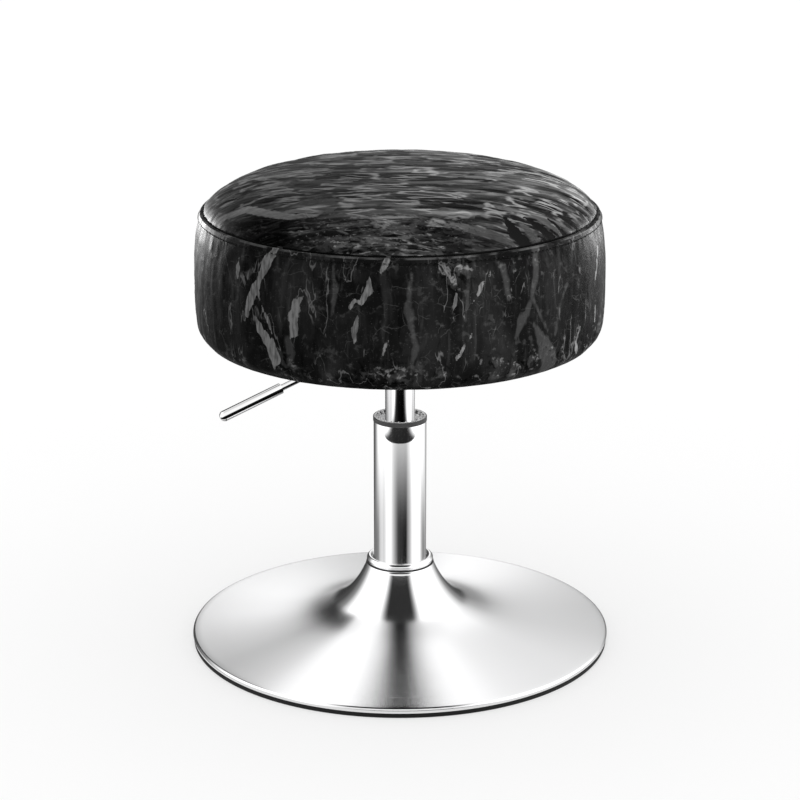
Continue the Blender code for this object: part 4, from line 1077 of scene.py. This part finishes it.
# Dust cover. A disc of black non-woven cloth, stapled over the cover's hem under the board. It
# is stretched flat, and its edge steps down over the hem.
dust_cloth, tree, shader, place = finish_of("dust cloth", (0.014, 0.014, 0.014), 0.9)
fibres = noise(tree, place, 1200.0, 4.0)
dots = add(tree, "TexVoronoi", {"Vector": place, "Scale": 450.0, "Randomness": 0.1}).outputs[0]
bumped(tree, shader, maths(tree, "ADD", fibres, dots), 0.5, 0.0003)
cloth_radius, cloth_thickness = 0.163, 0.0008
cloth_profile = [(0, 0.3017, 0), (0.1485, 0.3017, 0), (0.15, 0.3002, 0), (cloth_radius, 0.3002, 0)]
cloth_profile += [
    (radius, height - cloth_thickness, 0) for radius, height, _ in reversed(cloth_profile)
]
dust = piece(
    "dust_cloth", turned(cloth_profile, 96, False), dust_cloth, "lift", "dust_cloth", "dust_cover"
)

staple_count, wire_radius, staple_width = 48, 0.00035, 0.009
lying = Matrix.Translation((0.1565, 0, 0.29925)) @ Matrix.Rotation(math.pi / 2, 4, "X")
staples = bmesh.new()
for number in range(staple_count):
    turn = Matrix.Rotation(2 * math.pi * (number + 0.3) / staple_count, 4, "Z")
    bmesh.ops.create_cone(
        staples, cap_ends=True, segments=8, radius1=wire_radius, radius2=wire_radius,
        depth=staple_width, matrix=turn @ lying,
    )
piece("hem_staples", staples, zinc_steel, "lift", "zinc_steel")


# Studio. A white floor, a soft even light, and a surround of pale screens with dark gaps, which
# only polished surfaces show. The camera stands where the photograph was taken from.
floor_look, *_ = finish_of(
    "white floor", (0.52, 0.52, 0.52), 0.9, Specular_IOR_Level=0,
    Emission_Color=(1, 1, 1, 1), Emission_Strength=0.439,
)
shape = bmesh.new()
bmesh.ops.create_grid(shape, x_segments=1, y_segments=1, size=6)
floor = object_of("floor", shape, floor_look)

# A black card with soft edges hangs in front of the column, where the polished neck mirrors it.
# Polished surfaces show that card, the base and the surround, and no other piece.
card_look, tree, shader, place = finish_of("black card", (0, 0, 0), 1.0, Specular_IOR_Level=0)
across, ahead, _ = add(tree, "SeparateXYZ", {0: place}).outputs
width = maths(tree, "MULTIPLY_ADD", ahead, -0.38, 0.035)
off = maths(tree, "DIVIDE", maths(tree, "ABSOLUTE", across), width)
card_share = ramp(tree, off, 0.72, 1.5, 0.97, 0.0)
tree.links.new(card_share, shader.inputs["Alpha"])
card_place, card_size = Matrix.Translation((0, -0.19, 0.2)), Matrix.Diagonal((0.25, 0.155, 1, 1))
shape = bmesh.new()
bmesh.ops.create_grid(
    shape, x_segments=1, y_segments=1, size=1, matrix=card_place @ card_size
)
card = object_of("black_card", shape, card_look)
card.visible_camera = card.visible_diffuse = card.visible_shadow = False
for made in bpy.context.scene.objects:
    made.visible_glossy = made in (base_shell, card)

studio = bpy.data.worlds.new("studio")
bpy.context.scene.world = studio
studio.use_nodes = True
tree = studio.node_tree
background = tree.nodes["Background"]
# The screens are laid out by the slope that would mirror them to the camera: first the bearing
# which that slope faces, from the front, then how steep it is.
middle_view = (0, 0.925, -0.38)
towards = add(tree, "TexCoord").outputs["Generated"]
slope = vectors(tree, "NORMALIZE", vectors(tree, "SUBTRACT", towards, middle_view))
slope_x, slope_y, slope_z = add(tree, "SeparateXYZ", {0: slope}).outputs
bearing = turn_share(tree, slope_x, maths(tree, "MULTIPLY", slope_y, -1.0))
over_dish = bands(
    tree, bearing,
    (-180, 0.75), (-160, 0.82), (-140, 1.0), (-120, 1.35), (-105, 1.55), (-92, 1.55), (-78, 1.1),
    (-66, 0.78), (-50, 1.08), (-40, 1.5), (-28, 1.7), (-18, 1.45), (-11, 0.97), (-8, 0.62),
    (-6, 0.3), (-4.5, 0.06), (-3.5, 0.0), (4.5, 0.0), (5.5, 0.08), (7, 0.42), (9, 0.75), (12, 1.0),
    (18, 1.45), (28, 1.5), (40, 1.15), (60, 0.97), (75, 0.88), (85, 0.91), (105, 1.1), (125, 1.38),
    (145, 1.45), (165, 1.15),
)
over_flare = bands(
    tree, bearing,
    (-180, 0.08), (-145, 0.1), (-130, 0.25), (-110, 0.5), (-92, 0.2), (-78, 0.03), (-63, 0.0),
    (-52, 0.02), (-46, 0.25), (-40, 1.1), (-30, 1.4), (-18, 1.3), (-11, 0.7), (-6, 0.2),
    (-3, 0.02), (4, 0.02), (8, 0.4), (14, 0.8), (22, 1.1), (40, 1.35), (62, 1.35), (72, 1.05),
    (84, 0.6), (97, 0.35), (115, 0.3), (130, 0.3), (145, 0.12),
)
round_neck = bands(
    tree, bearing,
    (-180, 0.08), (-104, 0.05), (-92, 0.05), (-78, 0.1), (-67, 0.35), (-61, 1.0), (-54, 1.8),
    (-24, 1.8), (-14, 1.15), (14, 1.15), (24, 1.8), (60, 1.8), (70, 1.1), (80, 0.4), (92, 0.12),
    (104, 0.06),
)
round_tube = bands(
    tree, bearing,
    (-180, 0.2), (-90, 0.2), (-64, 0.22), (-56, 0.3), (-49, 0.8), (-43, 0.92), (-37.5, 0.8),
    (-32, 1.25), (-27.5, 1.7), (-23, 1.7), (-18, 1.0), (-13, 0.55), (-9, 0.28), (-5, 0.075),
    (-1, 0.05), (4, 0.036), (8, 0.028), (10.5, 0.003), (14, 0.01), (17, 0.3), (22, 0.58), (27, 1.2),
    (31, 1.7), (45, 1.7), (50, 1.3), (55, 0.65), (62, 0.27), (72, 0.38), (82, 0.25),
)
white_floor = (0.95, 0.95, 0.95, 1)
surround = over_dish
for next_ring, start, end in (
    (over_flare, 0.984, 0.951), (round_neck, 0.885, 0.845), (round_tube, 0.16, 0.04),
    (white_floor, 0.0, -0.12),
):
    share = ramp(tree, slope_z, start, end)
    surround = add(tree, "Mix", {0: share, 6: surround, 7: next_ring}, data_type="RGBA").outputs[2]
glossy = add(tree, "LightPath").outputs["Is Glossy Ray"]
light = add(tree, "Mix", {0: glossy, 6: (1.1, 1.1, 1.1, 1), 7: surround}, data_type="RGBA")
tree.links.new(light.outputs[2], background.inputs["Color"])

# Two lights from behind and a weaker one from the front right are kept to the black seat.
lit = bpy.data.collections.new("lit by the seat lights")
for made in (cushion, band):
    lit.objects.link(made)
for place, power in (((-1.1, 1.2, 0.45), 105), ((1.1, 0.9, 0.45), 56), ((1.3, -0.9, 0.5), 28)):
    light_data = bpy.data.lights.new("seat_light", "AREA")
    light_data.energy = power
    light_data.size = 0.5
    seat_light = bpy.data.objects.new("seat_light", light_data)
    seat_light.location = place
    aim = Vector((0, 0, 0.37)) - seat_light.location
    seat_light.rotation_euler = aim.to_track_quat("-Z", "Y").to_euler()
    seat_light.light_linking.receiver_collection = lit
    bpy.context.scene.collection.objects.link(seat_light)

scene = bpy.context.scene
scene.view_settings.view_transform = "Standard"
camera_data = bpy.data.cameras.new("camera")
camera_data.lens = 116.71
camera_data.sensor_width = 36
camera = bpy.data.objects.new("camera", camera_data)
camera.location = (0, -2.33545, 0.97024)
camera.rotation_euler = (math.radians(72.571), 0, 0)
scene.collection.objects.link(camera)
scene.camera = camera
